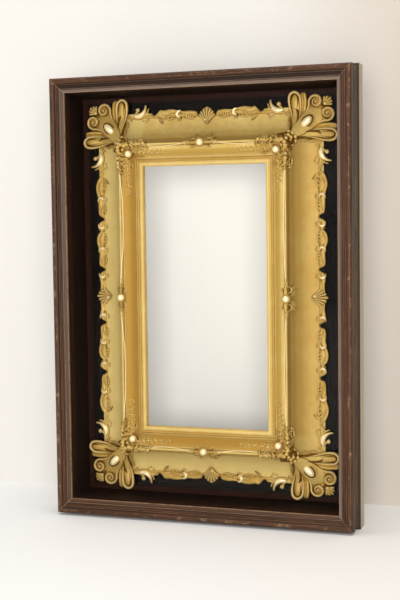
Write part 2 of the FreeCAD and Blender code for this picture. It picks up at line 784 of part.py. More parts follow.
# Flower sprays: a rose over the reed's mitre, with a leafy stem along each band.
roseX, roseZ = at_corner(size("roseOffset"), size("roseOffset"))
stemMiddle = size("sprayStart") - size("sprayLong")
alongX, alongZ = at_corner(stemMiddle, size("sprayOffset"))
uprightX, uprightZ = at_corner(size("sprayOffset"), stemMiddle)
spray = fuse("spray_whole", [
    ellipsoid("rose", roseX, frontFace + rise("roseHeight"), roseZ, size("roseRadius"),
              size("roseRadius"), size("sprayThick"), 0),
    ellipsoid("stem_along", alongX, frontFace + rise("sprayHeight"), alongZ, size("sprayLong"),
              size("sprayShort"), size("sprayThick"), 0),
    ellipsoid("stem_upright", uprightX, frontFace + rise("sprayHeight"), uprightZ,
              size("sprayLong"), size("sprayShort"), size("sprayThick"), 90),
])
spray = cut("spray_round_boss", cut("spray_bedded", spray, giltCorner), cornerBoss)
exported.extend(four_corners("flower_spray", spray))

# ---- hardware on the back ----

def round_bar(label, radius, length, x, y, z, axis=(1, 0, 0), angle=90):
    """Cylinder that starts at a point; by default it runs towards the front."""
    piece = doc.addObject("Part::Cylinder", label)
    piece.Label = label
    bind(piece, "Radius", radius)
    bind(piece, "Height", length)
    place(piece, x, y, z, axis=axis, angle=angle)
    return piece


def screws(label, spots, radius, head_y, bite):
    """Flat headed screws seen from the back: head_y is the underside of the heads."""
    pieces = []
    for number, (x, z) in enumerate(spots):
        top = head_y + size("screwHeadRise")
        head = round_bar("%s_head_%d" % (label, number), size("screwHead"),
                         size("screwHeadRise"), x, top, z)
        shank = round_bar("%s_shank_%d" % (label, number), radius,
                          size("screwHeadRise") + bite, x, top, z)
        pieces.append(fuse("%s_%d" % (label, number), [head, shank]))
    exported.append(together(label, pieces))


# Turn buttons round the picture opening, parked along its edges.
buttonFront = backFace + size("buttonGap")
buttonEnd = size("buttonLength") - size("pivotInset")
buttonHalf = size("buttonWidth") / 2
ROUND_END = 0.4
buttonSpots = []
for side in SIDES:
    label = "turn_button_%s" % side
    button = new_body(label)
    shape = outline(button, "XZ_Plane", label + "_outline", [
        (-size("pivotInset") + buttonHalf / 2, -buttonHalf, -ROUND_END),
        (buttonEnd - buttonHalf / 2, -buttonHalf),
        (buttonEnd - buttonHalf / 2, buttonHalf, -ROUND_END),
        (-size("pivotInset") + buttonHalf / 2, buttonHalf),
    ])
    pad(button, shape, label + "_plate", size("buttonThickness"), backward=True)
    pivot = circles(button, "XZ_Plane", label + "_pivot", [(0, 0)], size("screwHole"))
    pocket_through(button, pivot, label + "_bore")
    across, upward = {"top": (0, 1), "right": (1, 0), "bottom": (0, -1), "left": (-1, 0)}[side]
    x = (openingHalf[0] + size("buttonPivot")) * across
    z = middleHeight + (openingHalf[1] + size("buttonPivot")) * upward
    place(button, x, buttonFront, z, angle=SIDES[side])
    exported.append(button)
    buttonSpots.append((x, z))
buttonSeat = buttonFront + size("buttonThickness") + size("headPlay")
buttonBite = buttonSeat - backFace + size("screwBite")
screws("turn_button_screws", buttonSpots, size("screwRadius"), buttonSeat, buttonBite)

# Screws that hold the gilt frame against the back panel.
frameSpots = []
offset = size("frameScrewOffset")
for across in (-1, 1):
    x = (openingHalf[0] + offset) * across
    for upward in (-1, 1):
        frameSpots.append((x, middleHeight + size("frameScrewUpright") * upward))
        frameSpots.append((size("frameScrewAcross") * across,
                           middleHeight + (openingHalf[1] + offset) * upward))
frameBite = size("panelThickness") + size("frameScrewBite")
screws("gilt_frame_screws", frameSpots, size("screwRadius"), backFace, frameBite)
panelSpots = [(x, z - middleHeight) for x, z in buttonSpots + frameSpots]
panelHoles = circles(backPanel, "XZ_Plane", "back_panel_screws", panelSpots, size("screwRadius"))
pocket_through(backPanel, panelHoles, "back_panel_drilled")
for side in SIDES:
    upright = side in ("left", "right")
    run = size("frameScrewUpright") if upright else size("frameScrewAcross")
    height = offset - size("giltWidth")
    bore(giltRails[side], "gilt_rail_%s_drilled" % side, [(-run, height), (run, height)],
         size("screwRadius"), panelFront, size("frameScrewBite"))

# Strap hangers on the back edges of the case sides, each with a free swinging ring.
hangerZ = size("overallHeight") - size("hangerDrop")
hangerX = caseHalf[0] - size("caseThickness") / 2
hangerSpots = []
for side, across in (("left", -1), ("right", 1)):
    label = "hanger_plate_%s" % side
    hanger = new_body(label)
    strap = outline(hanger, "YZ_Plane", label + "_strap", [
        (0, -size("plateLength")),
        (size("plateThickness"), -size("plateLength")),
        (size("plateThickness"), 0),
        (0, 0),
    ])
    pad(hanger, strap, label + "_plate", size("plateWidth"), symmetric=True)
    centre = [(size("eyeLift"), 0)]
    roll = circles(hanger, "YZ_Plane", label + "_roll", centre, size("eyeOuter"))
    pad(hanger, roll, label + "_eye", size("eyeHalfLength") * 2, symmetric=True)
    tongue = outline(hanger, "YZ_Plane", label + "_tongue", [
        (0, -size("eyeOuter")),
        (size("eyeLift"), -size("eyeOuter")),
        (size("eyeLift"), 0),
        (0, 0),
    ])
    pad(hanger, tongue, label + "_neck", size("eyeHalfLength") * 2, symmetric=True)
    hollow = circles(hanger, "YZ_Plane", label + "_hollow", centre, size("eyeInner"))
    pocket_through(hanger, hollow, label + "_bore")
    near = -size("hangerScrewNear")
    far = -size("hangerScrewFar")
    plate_holes = circles(hanger, "XZ_Plane", label + "_holes", [(0, near), (0, far)],
                          size("screwRadius"))
    pocket_through(hanger, plate_holes, label + "_drilled")
    x = hangerX * across
    place(hanger, x, backFace, hangerZ)
    exported.append(hanger)
    hangerSpots.extend([(x, hangerZ + near), (x, hangerZ + far)])
    # the case side runs along its own X, turned to stand upright
    level = (hangerZ - middleHeight) * -across
    level_near = level - near * across
    level_far = level - far * across
    bore(caseSides[side], "case_side_%s_drilled" % side,
         [(level_near, -size("caseThickness") / 2), (level_far, -size("caseThickness") / 2)],
         size("screwRadius"), size("caseDepth"), size("hangerScrewBite"))

    eyeY = backFace + size("eyeLift")
    wire = size("ringWire")
    half = size("ringHalfWidth")
    bend = hangerZ - size("ringDrop") + half
    ring = "hanger_ring_%s" % side
    bow = doc.addObject("Part::Torus", ring + "_bow")
    bind(bow, "Radius1", half)
    bind(bow, "Radius2", wire)
    bow.Angle3 = 180
    place(bow, x, eyeY, bend, axis=(1, 0, 0), angle=-90)
    pieces = [
        bow,
        round_bar(ring + "_bar", wire, half * 2, x - half, eyeY, hangerZ, axis=(0, 1, 0)),
    ]
    for sign in (-1, 1):
        ball = doc.addObject("Part::Sphere", ring + ("_near" if sign < 0 else "_far"))
        bind(ball, "Radius", wire)
        place(ball, x + half * sign, eyeY, hangerZ)
        pieces.append(ball)
        pieces.append(round_bar("%s_leg_%d" % (ring, sign + 1), wire, hangerZ - bend,
                                x + half * sign, eyeY, bend, axis=(0, 0, 1), angle=0))
    exported.append(fuse(ring, pieces))
plateBack = backFace + size("plateThickness")
hangerBite = size("plateThickness") + size("hangerScrewBite")
screws("hanger_screws", hangerSpots, size("screwRadius"), plateBack, hangerBite)

# ---- checks and export ----

doc.recompute()
for item in doc.Objects:
    if "Invalid" in item.State or "Error" in item.State:
        raise RuntimeError("%s failed: %s" % (item.Label, item.State))
os.makedirs("parts", exist_ok=True)
for item in exported:
    shape = item.Shape
    if shape.isNull() or not shape.isValid() or shape.Volume < 1:
        raise RuntimeError("%s has no valid shape" % item.Label)
    shape.exportStep("parts/%s.step" % item.Label)
print("%d pieces" % len(exported))
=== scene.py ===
import json
import math
import bpy
import bmesh
import numpy as np
from mathutils import Matrix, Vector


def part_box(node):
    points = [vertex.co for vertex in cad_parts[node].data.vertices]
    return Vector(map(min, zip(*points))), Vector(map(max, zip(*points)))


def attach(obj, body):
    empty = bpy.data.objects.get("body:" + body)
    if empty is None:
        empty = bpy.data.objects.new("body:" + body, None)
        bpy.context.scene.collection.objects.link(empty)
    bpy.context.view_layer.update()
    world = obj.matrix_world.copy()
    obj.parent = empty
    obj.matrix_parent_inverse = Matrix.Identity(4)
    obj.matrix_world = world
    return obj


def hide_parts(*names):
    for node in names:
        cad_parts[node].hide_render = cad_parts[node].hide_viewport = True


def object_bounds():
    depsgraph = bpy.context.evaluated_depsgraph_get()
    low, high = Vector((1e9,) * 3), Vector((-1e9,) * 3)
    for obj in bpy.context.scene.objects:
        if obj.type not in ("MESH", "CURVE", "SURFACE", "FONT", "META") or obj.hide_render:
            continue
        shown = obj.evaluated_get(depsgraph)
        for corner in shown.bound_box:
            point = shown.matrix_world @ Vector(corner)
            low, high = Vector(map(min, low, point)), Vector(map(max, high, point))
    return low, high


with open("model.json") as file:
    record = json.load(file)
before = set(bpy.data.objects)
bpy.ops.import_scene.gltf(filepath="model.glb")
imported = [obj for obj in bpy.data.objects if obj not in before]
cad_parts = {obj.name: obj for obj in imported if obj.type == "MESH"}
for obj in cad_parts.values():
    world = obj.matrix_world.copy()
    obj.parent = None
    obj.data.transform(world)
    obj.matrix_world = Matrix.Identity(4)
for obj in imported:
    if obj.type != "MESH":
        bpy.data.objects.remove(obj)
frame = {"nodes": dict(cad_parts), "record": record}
nodes = frame["nodes"]
cadBox = [list(corner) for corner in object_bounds()]
print("frame loaded:", len(nodes), "nodes")

# where things are, taken from the CAD
frontY = cadBox[0][1]
panelMidY = (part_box("back_panel")[0][1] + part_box("back_panel")[1][1]) / 2
midZ = sum(corner[2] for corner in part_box("glass_pane")) / 2
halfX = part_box("sight_slip_right")[0][0]  # half sizes of the picture opening
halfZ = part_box("sight_slip_top")[0][2] - midZ
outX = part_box("front_rail_right")[1][0]  # half sizes of the front frame
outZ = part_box("front_rail_top")[1][2] - midZ
rng = np.random.default_rng(11)


# node helpers
def tone(r, g, b):  # screen colour 0-255 to linear
    c = np.array([r, g, b]) / 255
    c = np.where(c <= 0.04045, c / 12.92, ((c + 0.055) / 1.055) ** 2.4)
    return (*c.tolist(), 1)


def newMaterial(name):
    mat = bpy.data.materials.new(name)
    mat.use_nodes = True
    return mat, mat.node_tree, mat.node_tree.nodes["Principled BSDF"]


def node(tree, kind, inputs=None, **settings):  # one node, inputs given by name as numbers or links
    made = tree.nodes.new("ShaderNode" + kind)
    for key, value in settings.items():
        setattr(made, key, value)
    for key, value in (inputs or {}).items():
        if isinstance(value, bpy.types.NodeSocket):
            tree.links.new(value, made.inputs[key])
        else:
            made.inputs[key].default_value = value
    return made


def calc(tree, operation, a, b=0.0, c=0.0):
    return node(tree, "Math", {0: a, 1: b, 2: c}, operation=operation).outputs[0]


def times(tree, a, b):
    return calc(tree, "MULTIPLY", a, b)


def minus(tree, a, b):
    return calc(tree, "SUBTRACT", a, b)


def timesPlus(tree, a, b, c):
    return calc(tree, "MULTIPLY_ADD", a, b, c)


def absolute(tree, a):
    return calc(tree, "ABSOLUTE", a)


def stretch(tree, vector, scale):
    return node(tree, "Mapping", {"Vector": vector, "Scale": scale}).outputs[0]


def noise(tree, vector, scale, detail=4, rough=0.55, distort=0.0):
    made = node(tree, "TexNoise", {"Vector": vector, "Scale": scale, "Detail": detail, "Roughness": rough,
                                   "Distortion": distort})
    return made.outputs["Fac"]


def ramp(tree, fac, stops):  # stops are (position, colour) or (position, grey)
    made = node(tree, "ValToRGB", {"Fac": fac})
    band = made.color_ramp
    while len(band.elements) < len(stops):
        band.elements.new(0.5)
    for element, (where, colour) in zip(band.elements, stops):
        element.position = where
        element.color = colour if isinstance(colour, tuple) else (colour, colour, colour, 1)
    return made.outputs["Color"]


def blendColours(tree, fac, a, b, kind="MIX"):
    made = node(tree, "Mix", {0: fac, 6: a, 7: b}, data_type="RGBA", blend_type=kind)
    return made.outputs[2]


def over(tree, fac, colour, rgb):  # screen colour rgb laid over colour by fac
    return blendColours(tree, fac, colour, tone(*rgb))


def span(tree, value, low, high, toLow=0.0, toHigh=1.0):
    made = node(tree, "MapRange", {"Value": value, "From Min": low, "From Max": high, "To Min": toLow,
                                   "To Max": toHigh}, interpolation_type="SMOOTHSTEP")
    return made.outputs[0]


def strip(tree, value, start, full, fullEnd, end):  # 1 between full and fullEnd, fading to 0 at start and end
    return times(tree, span(tree, value, start, full), span(tree, value, end, fullEnd))


def nearTo(tree, value, centre, reach, full, much):  # much within full of the centre, fading to 0 at reach
    return span(tree, absolute(tree, minus(tree, value, centre)), reach, full, 0.0, much)


def bumped(tree, shader, height, strength, distance):
    made = node(tree, "Bump", {"Height": height, "Strength": strength, "Distance": distance})
    tree.links.new(made.outputs[0], shader.inputs["Normal"])


def link(tree, shader, **inputs):
    for key, value in inputs.items():
        socket = shader.inputs[key.replace("_", " ")]
        if isinstance(value, bpy.types.NodeSocket):
            tree.links.new(value, socket)
        else:
            socket.default_value = value


def edgeGaps(tree, axes, halfWide, halfHigh):  # distance in from a frame's outer sides, and from its ends
    return (minus(tree, halfWide, absolute(tree, axes[0])), minus(tree, halfHigh,
                                                                  absolute(tree, minus(tree, axes[2], midZ))))


def framePlace(tree, halfWide, halfHigh):
    # distance in from the outer edge of a mitred frame, and 1 on its uprights, 0 on its cross rails
    place = node(tree, "TexCoord").outputs["Object"]
    axes = node(tree, "SeparateXYZ", {"Vector": place}).outputs
    fromSide, fromEnd = edgeGaps(tree, axes, halfWide, halfHigh)
    upright = calc(tree, "LESS_THAN", fromSide, fromEnd)
    return place, axes, calc(tree, "MINIMUM", fromSide, fromEnd), upright


def grainPlace(tree, place, axes, upright):  # the same point with the grain always along the third axis
    turned = node(tree, "CombineXYZ", {0: axes[2], 1: axes[1], 2: axes[0]}).outputs[0]
    made = node(tree, "Mix", {0: upright, 4: turned, 5: place}, data_type="VECTOR")
    return made.outputs[1]


def mixSurface(tree, share, first, second):  # the material's surface: first, with a share of second
    mixed = node(tree, "MixShader", {0: share, 1: first.outputs[0], 2: second.outputs[0]})
    tree.links.new(mixed.outputs[0], tree.nodes["Material Output"].inputs["Surface"])


def newObject(name, data):
    made = bpy.data.objects.new(name, data)
    bpy.context.scene.collection.objects.link(made)
    return made


# walnut: tones 0-255 as seen on screen
walnut = {
    "frontDark": (38, 22, 12), "frontMid": (74, 45, 25), "frontLight": (108, 71, 42),
    "rearDark": (60, 46, 33), "rearMid": (98, 82, 62), "rearLight": (134, 118, 94),
    "rearLine": (44, 28, 17), "rearEdge": (178, 162, 140),
    "caseDark": (34, 23, 17), "caseMid": (62, 43, 32), "caseLight": (90, 64, 47),
    # wornAndLit is the pale of wear and of painted highlights, groove the dark of painted shade in the grooves
    "wornAndLit": (176, 146, 112), "groove": (26, 15, 9), "red": (104, 56, 32),
    "bevel": (80, 54, 35), "bevelPale": (122, 105, 92),
    "rearPast": 0.004, "casePast": -0.006,  # metres the rear frame and the case stand out past the front frame
}
# the front moulding's parts, metres in from its outer edge: start, full, and for a band the far full and end
moulding = {"crest": (0.0010, 0.0040, 0.0070, 0.0100), "bead": (0.0108, 0.0116, 0.0205, 0.0215),
            "bevel": (0.0214, 0.0222)}
# thin lines along the front moulding, dark ones painted shade in the grooves, pale ones painted highlights on the
# beads: mm in from the edge, half width, strength, tone
walnutLines = [(10.9, 0.7, 0.8, "groove"), (12.5, 0.4, 0.4, "wornAndLit"), (18.4, 1.0, 0.85, "groove"),
               (20.2, 0.4, 0.5, "wornAndLit"), (21.7, 0.6, 0.7, "groove"), (26.8, 0.6, 0.6, "wornAndLit")]


def walnutMaterial(kind, past, roughness, coat, figured=0.62):
    # past is how far this frame's edge lies outside the front one's
    mat, tree, shader = newMaterial("walnut" + kind.capitalize())
    dark, mid, light = (tone(*walnut[kind + step]) for step in ("Dark", "Mid", "Light"))
    place, axes, inward, upright = framePlace(tree, outX + past, outZ + past)
    along = grainPlace(tree, place, axes, upright)
    figure = noise(tree, stretch(tree, along, (34, 34, 3.2)), 1, 5, 0.6, 1.2)
    fibre = noise(tree, stretch(tree, along, (520, 520, 12)), 1, 6, 0.7)
    pore = noise(tree, stretch(tree, along, (1300, 1300, 42)), 1, 3, 0.6)
    grain = timesPlus(tree, fibre, 1.07 - figured, times(tree, figure, figured))
    colour = ramp(tree, grain, [(0.34, dark), (0.54, mid), (0.76, light)])
    pores = span(tree, pore, 0.36, 0.46, 0.45, 1.0)
    colour = blendColours(tree, 1.0, colour, ramp(tree, pores, [(0, 0.0), (1, 1.0)]), "MULTIPLY")
    shine = timesPlus(tree, fibre, 0.16, roughness - 0.08)
    link(tree, shader, Base_Color=colour, Roughness=shine, Coat_Weight=coat, Coat_Roughness=0.25,
         Specular_IOR_Level=0.22)
    bumped(tree, shader, timesPlus(tree, pores, 0.6, fibre), 0.22, 0.0004)
    return mat, tree, shader, colour, inward, axes, fibre, upright


def frontWalnut():
    # even brown torus with pale flecks of wear, a bead between thin lines of painted shade and painted highlight, then
    # a polished bevel, painted paler where it faces the light
    mat, tree, shader, colour, inward, axes, fibre, upright = walnutMaterial("front", 0, 0.46, 0.05, 0.3)
    place = node(tree, "TexCoord").outputs["Object"]
    patch = noise(tree, place, 60, 5, 0.7, 0.4)
    crest = strip(tree, inward, *moulding["crest"])
    wornAndLit = times(tree, crest, span(tree, timesPlus(tree, fibre, 0.5, patch), 0.78, 0.98))
    colour = over(tree, times(tree, wornAndLit, 0.6), colour, walnut["wornAndLit"])
    high = calc(tree, "GREATER_THAN", axes[2], midZ)
    topRail = times(tree, high, minus(tree, 1.0, upright))
    reddish = times(tree, topRail, span(tree, noise(tree, place, 11, 3, 0.5), 0.5, 0.66, 0.0, 0.55))
    colour = over(tree, reddish, colour, walnut["red"])
    bead = times(tree, strip(tree, inward, *moulding["bead"]), topRail)
    colour = over(tree, times(tree, bead, 0.75), colour, walnut["groove"])
    # painted light: the bevel is paler, and more coated, on the top and right rails, where it faces the light
    bevel = span(tree, inward, *moulding["bevel"])
    rightRail = times(tree, upright, calc(tree, "GREATER_THAN", axes[0], 0.0))
    lit = calc(tree, "MAXIMUM", topRail, rightRail)
    bevelTone = blendColours(tree, lit, tone(*walnut["bevel"]), tone(*walnut["bevelPale"]))
    polish = times(tree, bevel, span(tree, fibre, 0.3, 0.7, 0.45, 0.9))
    colour = blendColours(tree, polish, colour, bevelTone)
    # the painted shade and highlight lines are broken by patches and at half strength on the right rail
    fainter = timesPlus(tree, rightRail, -0.5, 1.0)
    broken = times(tree, span(tree, patch, 0.36, 0.56, 0.35, 1.0), fainter)
    for where, wide, much, shade in walnutLines:
        line = times(tree, nearTo(tree, inward, where / 1000, wide / 1000, wide / 3000, much), broken)
        colour = over(tree, line, colour, walnut[shade])
    mitre = absolute(tree, minus(tree, *edgeGaps(tree, axes, outX, outZ)))
    joint = times(tree, span(tree, mitre, 0.0009, 0.0003), broken)
    colour = over(tree, times(tree, joint, 0.6), colour, walnut["wornAndLit"])
    sideFade = span(tree, axes[1], frontY + 0.006, frontY + 0.013)  # the rail's outer side is darker
    colour = over(tree, times(tree, sideFade, span(tree, inward, 0.004, 0.001)), colour, walnut["frontDark"])
    coat = timesPlus(tree, times(tree, bevel, lit), 0.4, 0.05)
    link(tree, shader, Base_Color=colour, Coat_Weight=coat)
    return mat


def rearWalnut():
    # the rear frame's front face is dark but for its inner edge, and its side goes pale towards the back
    mat, tree, shader, colour, inward, axes, fibre, upright = walnutMaterial("rear", walnut["rearPast"], 0.46, 0.1)
    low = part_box("rear_rail_right")[0][1]
    ragged = timesPlus(tree, minus(tree, fibre, 0.5), 0.004, axes[1])
    dark = times(tree, span(tree, ragged, low + 0.0045, low + 0.0020), span(tree, inward, 0.0052, 0.0038))
    colour = over(tree, times(tree, dark, 0.9), colour, walnut["rearLine"])
    pale = span(tree, ragged, low + 0.0030, low + 0.0060, 0.0, 0.85)
    colour = over(tree, pale, colour, walnut["rearEdge"])
    link(tree, shader, Base_Color=colour)
    return mat


walnutFront = frontWalnut()
walnutRear = rearWalnut()
walnutCase = walnutMaterial("case", walnut["casePast"], 0.45, 0.3)[0]
print("walnut done")

# dark interior
# its maroon strips, in metres: on the liner behind the front, on the panel in from the frame's edge
interior = {"linerDark": (12, 7, 5), "linerLight": (34, 16, 9), "panelDark": (7, 5, 4), "panelLight": (22, 14, 11),
            "filletDark": (20, 13, 10), "filletLight": (50, 32, 22), "dust": (120, 112, 104), "maroon": (46, 23, 15),
            "linerEdge": (0.034, 0.026), "panelEdge": (0.047, 0.040)}


def interiorMaterial(kind, roughness, specular):
    # near black stain along the grain, a maroon strip along the liner's front and the panel's outer edge, a little
    # dust
    mat, tree, shader = newMaterial("dark" + kind.capitalize())
    dark, light = tone(*interior[kind + "Dark"]), tone(*interior[kind + "Light"])
    place, axes, inward, upright = framePlace(tree, outX, outZ)
    along = grainPlace(tree, place, axes, upright)
    streak = noise(tree, stretch(tree, along, (160, 160, 6)), 1, 5, 0.65, 0.4)
    cloud = noise(tree, place, 14, 3, 0.5)
    speck = noise(tree, place, 620, 2, 0.5)
    colour = ramp(tree, timesPlus(tree, streak, 0.7, times(tree, cloud, 0.3)), [(0.34, dark), (0.7, light)])
    if kind == "liner":
        start, full = interior["linerEdge"]
        edge = span(tree, axes[1], frontY + start, frontY + full, 0.0, 0.8)
    else:
        front = span(tree, axes[1], panelMidY + 0.001, panelMidY - 0.001)
        edge = times(tree, front, span(tree, inward, *interior["panelEdge"], 0.0, 0.8))
    colour = over(tree, edge, colour, interior["maroon"])
    dust = times(tree, span(tree, speck, 0.66, 0.76), 0.35)
    colour = over(tree, dust, colour, interior["dust"])
    gloss = timesPlus(tree, cloud, 0.28, roughness - 0.1)
    link(tree, shader, Base_Color=colour, Roughness=gloss, Specular_IOR_Level=specular)
    bumped(tree, shader, timesPlus(tree, cloud, 0.5, streak), 0.12, 0.0006)
    return mat


darkLiner = interiorMaterial("liner", 0.5, 0.06)
darkPanel = interiorMaterial("panel", 0.16, 0.14)
darkFillet = interiorMaterial("fillet", 0.45, 0.2)


glass = {"clear": (0.985, 0.99, 0.985, 1), "ior": 1.35, "shine": 0.05}


def glassMaterial():
    # clear sheet with a faint share of mirror, smeared by a noise
    mat, tree, shader = newMaterial("clearGlass")
    tree.nodes.remove(shader)
    smear = noise(tree, node(tree, "TexCoord").outputs["Object"], 9, 3, 0.5)
    rough = span(tree, smear, 0.3, 0.8, 0.02, 0.09)
    glint = node(tree, "BsdfGlossy", {"Color": tone(255, 255, 255), "Roughness": rough})
    clear = node(tree, "BsdfTransparent", {"Color": glass["clear"]})
    share = times(tree, node(tree, "Fresnel", {"IOR": glass["ior"]}).outputs[0], glass["shine"])
    mixSurface(tree, share, clear, glint)
    return mat


clearGlass = glassMaterial()
print("interior and glass done")

# gilding
# deep and amber are the painted shade of crevices and recesses, burnished the pale of the painted highlight on rubbed
# high spots
gilt = {"deep": (98, 60, 10), "ochre": (183, 146, 66), "gold": (209, 177, 103), "pale": (230, 206, 136),
        "rose": (212, 164, 116), "amber": (165, 123, 47), "olive": (188, 168, 98), "open": (16, 11, 9),
        "burnished": (254, 234, 184), "metallic": 0.25, "carvedMetallic": 0.32, "creviceReach": 0.007,
        # where the painted light and shade on the rails starts: start and full, in metres from the middle
        "leftFrom": (-0.12, -0.13), "bottomFrom": (-0.247, -0.257), "rightFrom": (0.15, 0.17),
        "band": (25.0, 11.0, 8.0, 0.85), "cove": (70.0, 30.0, 14.0, 0.45)}  # mm outwards, reach, full, strength
# black spots behind the border's bites: mm from the side's middle and radius, and how far out
openings = {"long": [(51, 6.2), (147, 6.2)], "short": [(15.5, 4.5), (104, 5.5)], "out": 98.0}
# lines along the mouldings, pale ones painted highlights on the beads, deep ones painted shade in the hollow, amber
# and ochre ones bands of tone: mm out from the opening, half width, strength, tone
giltLines = [(1.2, 1.6, 0.5, "ochre"), (4.2, 3.0, 0.45, "pale"), (10.6, 4.6, 0.62, "amber"), (15.8, 1.6, 0.5, "pale"),
             (24, 8, 0.8, "ochre"), (36.6, 1.4, 0.5, "deep"), (43.4, 1.8, 0.4, "deep"), (47, 6.5, 0.6, "amber"),
             (56, 9, 0.3, "ochre")]


def giltMaterial(name, carved, grit=1.0):
    # leaf over composition: tone wanders by noises, crevices and recesses get painted shade in dark ochre, high spots
    # are rubbed and carry a painted pale highlight
    mat, tree, shader = newMaterial(name)
    place, axes, inward, upright = framePlace(tree, halfX, halfZ)
    out = times(tree, inward, -1000.0)  # mm outwards from the opening's edge
    cloud = noise(tree, place, 17, 4, 0.6, 0.5)
    mottle = noise(tree, place, 120, 5, 0.65)
    grain = noise(tree, place, 900, 4, 0.7)
    sand = node(tree, "TexVoronoi", {"Vector": place, "Scale": 620, "Randomness": 1.0}).outputs["Distance"]
    blendTone = timesPlus(tree, mottle, 0.2, timesPlus(tree, cloud, 0.32, 0.25))
    colour = ramp(tree, blendTone, [(0.34, tone(*gilt["ochre"])), (0.5, tone(*gilt["gold"])),
                                    (0.68, tone(*gilt["pale"]))])
    rosy = times(tree, span(tree, noise(tree, place, 38, 3, 0.5), 0.55, 0.72), 0.4)
    colour = over(tree, rosy, colour, gilt["rose"])
    green = times(tree, span(tree, noise(tree, place, 29, 3, 0.5), 0.56, 0.74), 0.18)
    colour = over(tree, green, colour, gilt["olive"])
    # painted shade: crevices found by occlusion, mottled by a noise, darken towards deep ochre
    crevice = node(tree, "AmbientOcclusion", {"Distance": gilt["creviceReach"]}, samples=8).outputs["AO"]
    uneven = minus(tree, mottle, 0.5)
    creviceShade = span(tree, timesPlus(tree, uneven, 0.25, crevice), 0.86, 0.3, 0.0, 0.92)
    if carved:
        # painted shade from the recess attribute, over amber to deep ochre, and a painted highlight from rubbed in the
        # pale burnished tone
        recess = node(tree, "Attribute", attribute_name="recess").outputs["Fac"]
        rubbed = node(tree, "Attribute", attribute_name="rubbed").outputs["Fac"]
        recessShade = timesPlus(tree, uneven, 0.5, recess)
        creviceShade = calc(tree, "MAXIMUM", creviceShade, span(tree, recessShade, 0.3, 1.0, 0.0, 0.9))
        colour = over(tree, span(tree, creviceShade, 0.0, 0.4, 0.3, 0.9), colour, gilt["amber"])
        colour = over(tree, span(tree, creviceShade, 0.45, 0.9, 0.0, 0.9), colour, gilt["deep"])
        colour = over(tree, rubbed, colour, gilt["burnished"])
        rough = timesPlus(tree, rubbed, -0.25, timesPlus(tree, mottle, 0.2, 0.42))
    else:
        colour = over(tree, times(tree, creviceShade, 0.6), colour, gilt["deep"])
        for where, wide, much, shade in giltLines:
            line = nearTo(tree, out, where, wide, wide * 0.35, much)
            colour = over(tree, line, colour, gilt[shade])
        # painted shade: the flat band is darker on the left and bottom rails
        alongUp, alongAcross = minus(tree, axes[2], midZ), axes[0]
        leftAndBottomRails = calc(tree, "MAXIMUM", span(tree, alongAcross, *gilt["leftFrom"]),
                       span(tree, alongUp, *gilt["bottomFrom"]))
        band = nearTo(tree, out, *gilt["band"])
        colour = over(tree, times(tree, band, leftAndBottomRails), colour, gilt["amber"])
        # painted light: the cove is paler on the same two rails, and painted shade makes it darker on the right one
        cove = nearTo(tree, out, *gilt["cove"])
        colour = over(tree, times(tree, cove, leftAndBottomRails), colour, gilt["pale"])
        cove = times(tree, cove, span(tree, alongAcross, *gilt["rightFrom"]))
        colour = over(tree, cove, colour, gilt["amber"])
        rough = timesPlus(tree, mottle, 0.2, 0.44)
        # the land shows black in the border's round bites, as if cut through
        across = minus(tree, 1.0, upright)
        for kind, share, run in (("long", upright, alongUp), ("short", across, alongAcross)):
            for at, wide in openings[kind]:
                a = minus(tree, times(tree, absolute(tree, run), 1000.0), at)
                b = minus(tree, out, openings["out"])
                apart = calc(tree, "SQRT", timesPlus(tree, a, a, times(tree, b, b)))
                bite = times(tree, span(tree, apart, wide + 0.6, wide - 0.6), share)
                colour = over(tree, bite, colour, gilt["open"])
    link(tree, shader, Base_Color=colour, Roughness=rough, Specular_IOR_Level=0.12,
         Metallic=gilt["carvedMetallic" if carved else "metallic"])
    relief = timesPlus(tree, sand, 0.5, timesPlus(tree, grain, 0.5, mottle))
    bumped(tree, shader, relief, 0.3 * grit, 0.0006)
    return mat


giltMatte = giltMaterial("giltMatte", False)
giltSlip = giltMaterial("giltSlip", False, 0.5)
giltCarved = giltMaterial("giltCarved", True)
giltBurnished = giltMaterial("giltBurnished", True, grit=0.3)
print("gilding done")


# metal fittings
fittings = {"brassDark": (104, 80, 42), "brassLight": (188, 156, 92), "steelDark": (84, 80, 76),
            "steelLight": (158, 154, 148)}


def metalMaterial(name, kind, roughness):
    # tarnish wanders between a dark and a light tone, with fine scratches
    mat, tree, shader = newMaterial(name)
    dark, light = tone(*fittings[kind + "Dark"]), tone(*fittings[kind + "Light"])
    place = node(tree, "TexCoord").outputs["Object"]
    tarnish = noise(tree, place, 160, 5, 0.65)
    scratch = noise(tree, stretch(tree, place, (2600, 900, 240)), 1, 2, 0.5)
    colour = ramp(tree, tarnish, [(0.36, dark), (0.64, light)])
    link(tree, shader, Base_Color=colour, Metallic=0.95, Roughness=timesPlus(tree, tarnish, 0.3, roughness - 0.15))
    bumped(tree, shader, scratch, 0.15, 0.0002)
    return mat


agedBrass = metalMaterial("agedBrass", "brass", 0.36)
dullSteel = metalMaterial("dullSteel", "steel", 0.42)

finishOf = {"walnut_front": walnutFront, "walnut_rear": walnutRear, "walnut_case": walnutCase, "dark_liner": darkLiner,
            "dark_fillet": darkFillet, "dark_panel": darkPanel, "clear_glass": clearGlass, "gilt_matte": giltMatte,
            "gilt_slip": giltSlip, "gilt_ornament": giltMatte, "gilt_burnished": giltMatte, "steel_screws": dullSteel,
            "brass_buttons": agedBrass, "brass_hangers": agedBrass, "brass_rings": agedBrass}
for part in frame["record"]["subparts"]:
    slots = nodes[part["node"]].data.materials
    slots.clear()
    slots.append(finishOf[part["material_slot"]])
print("CAD nodes painted")


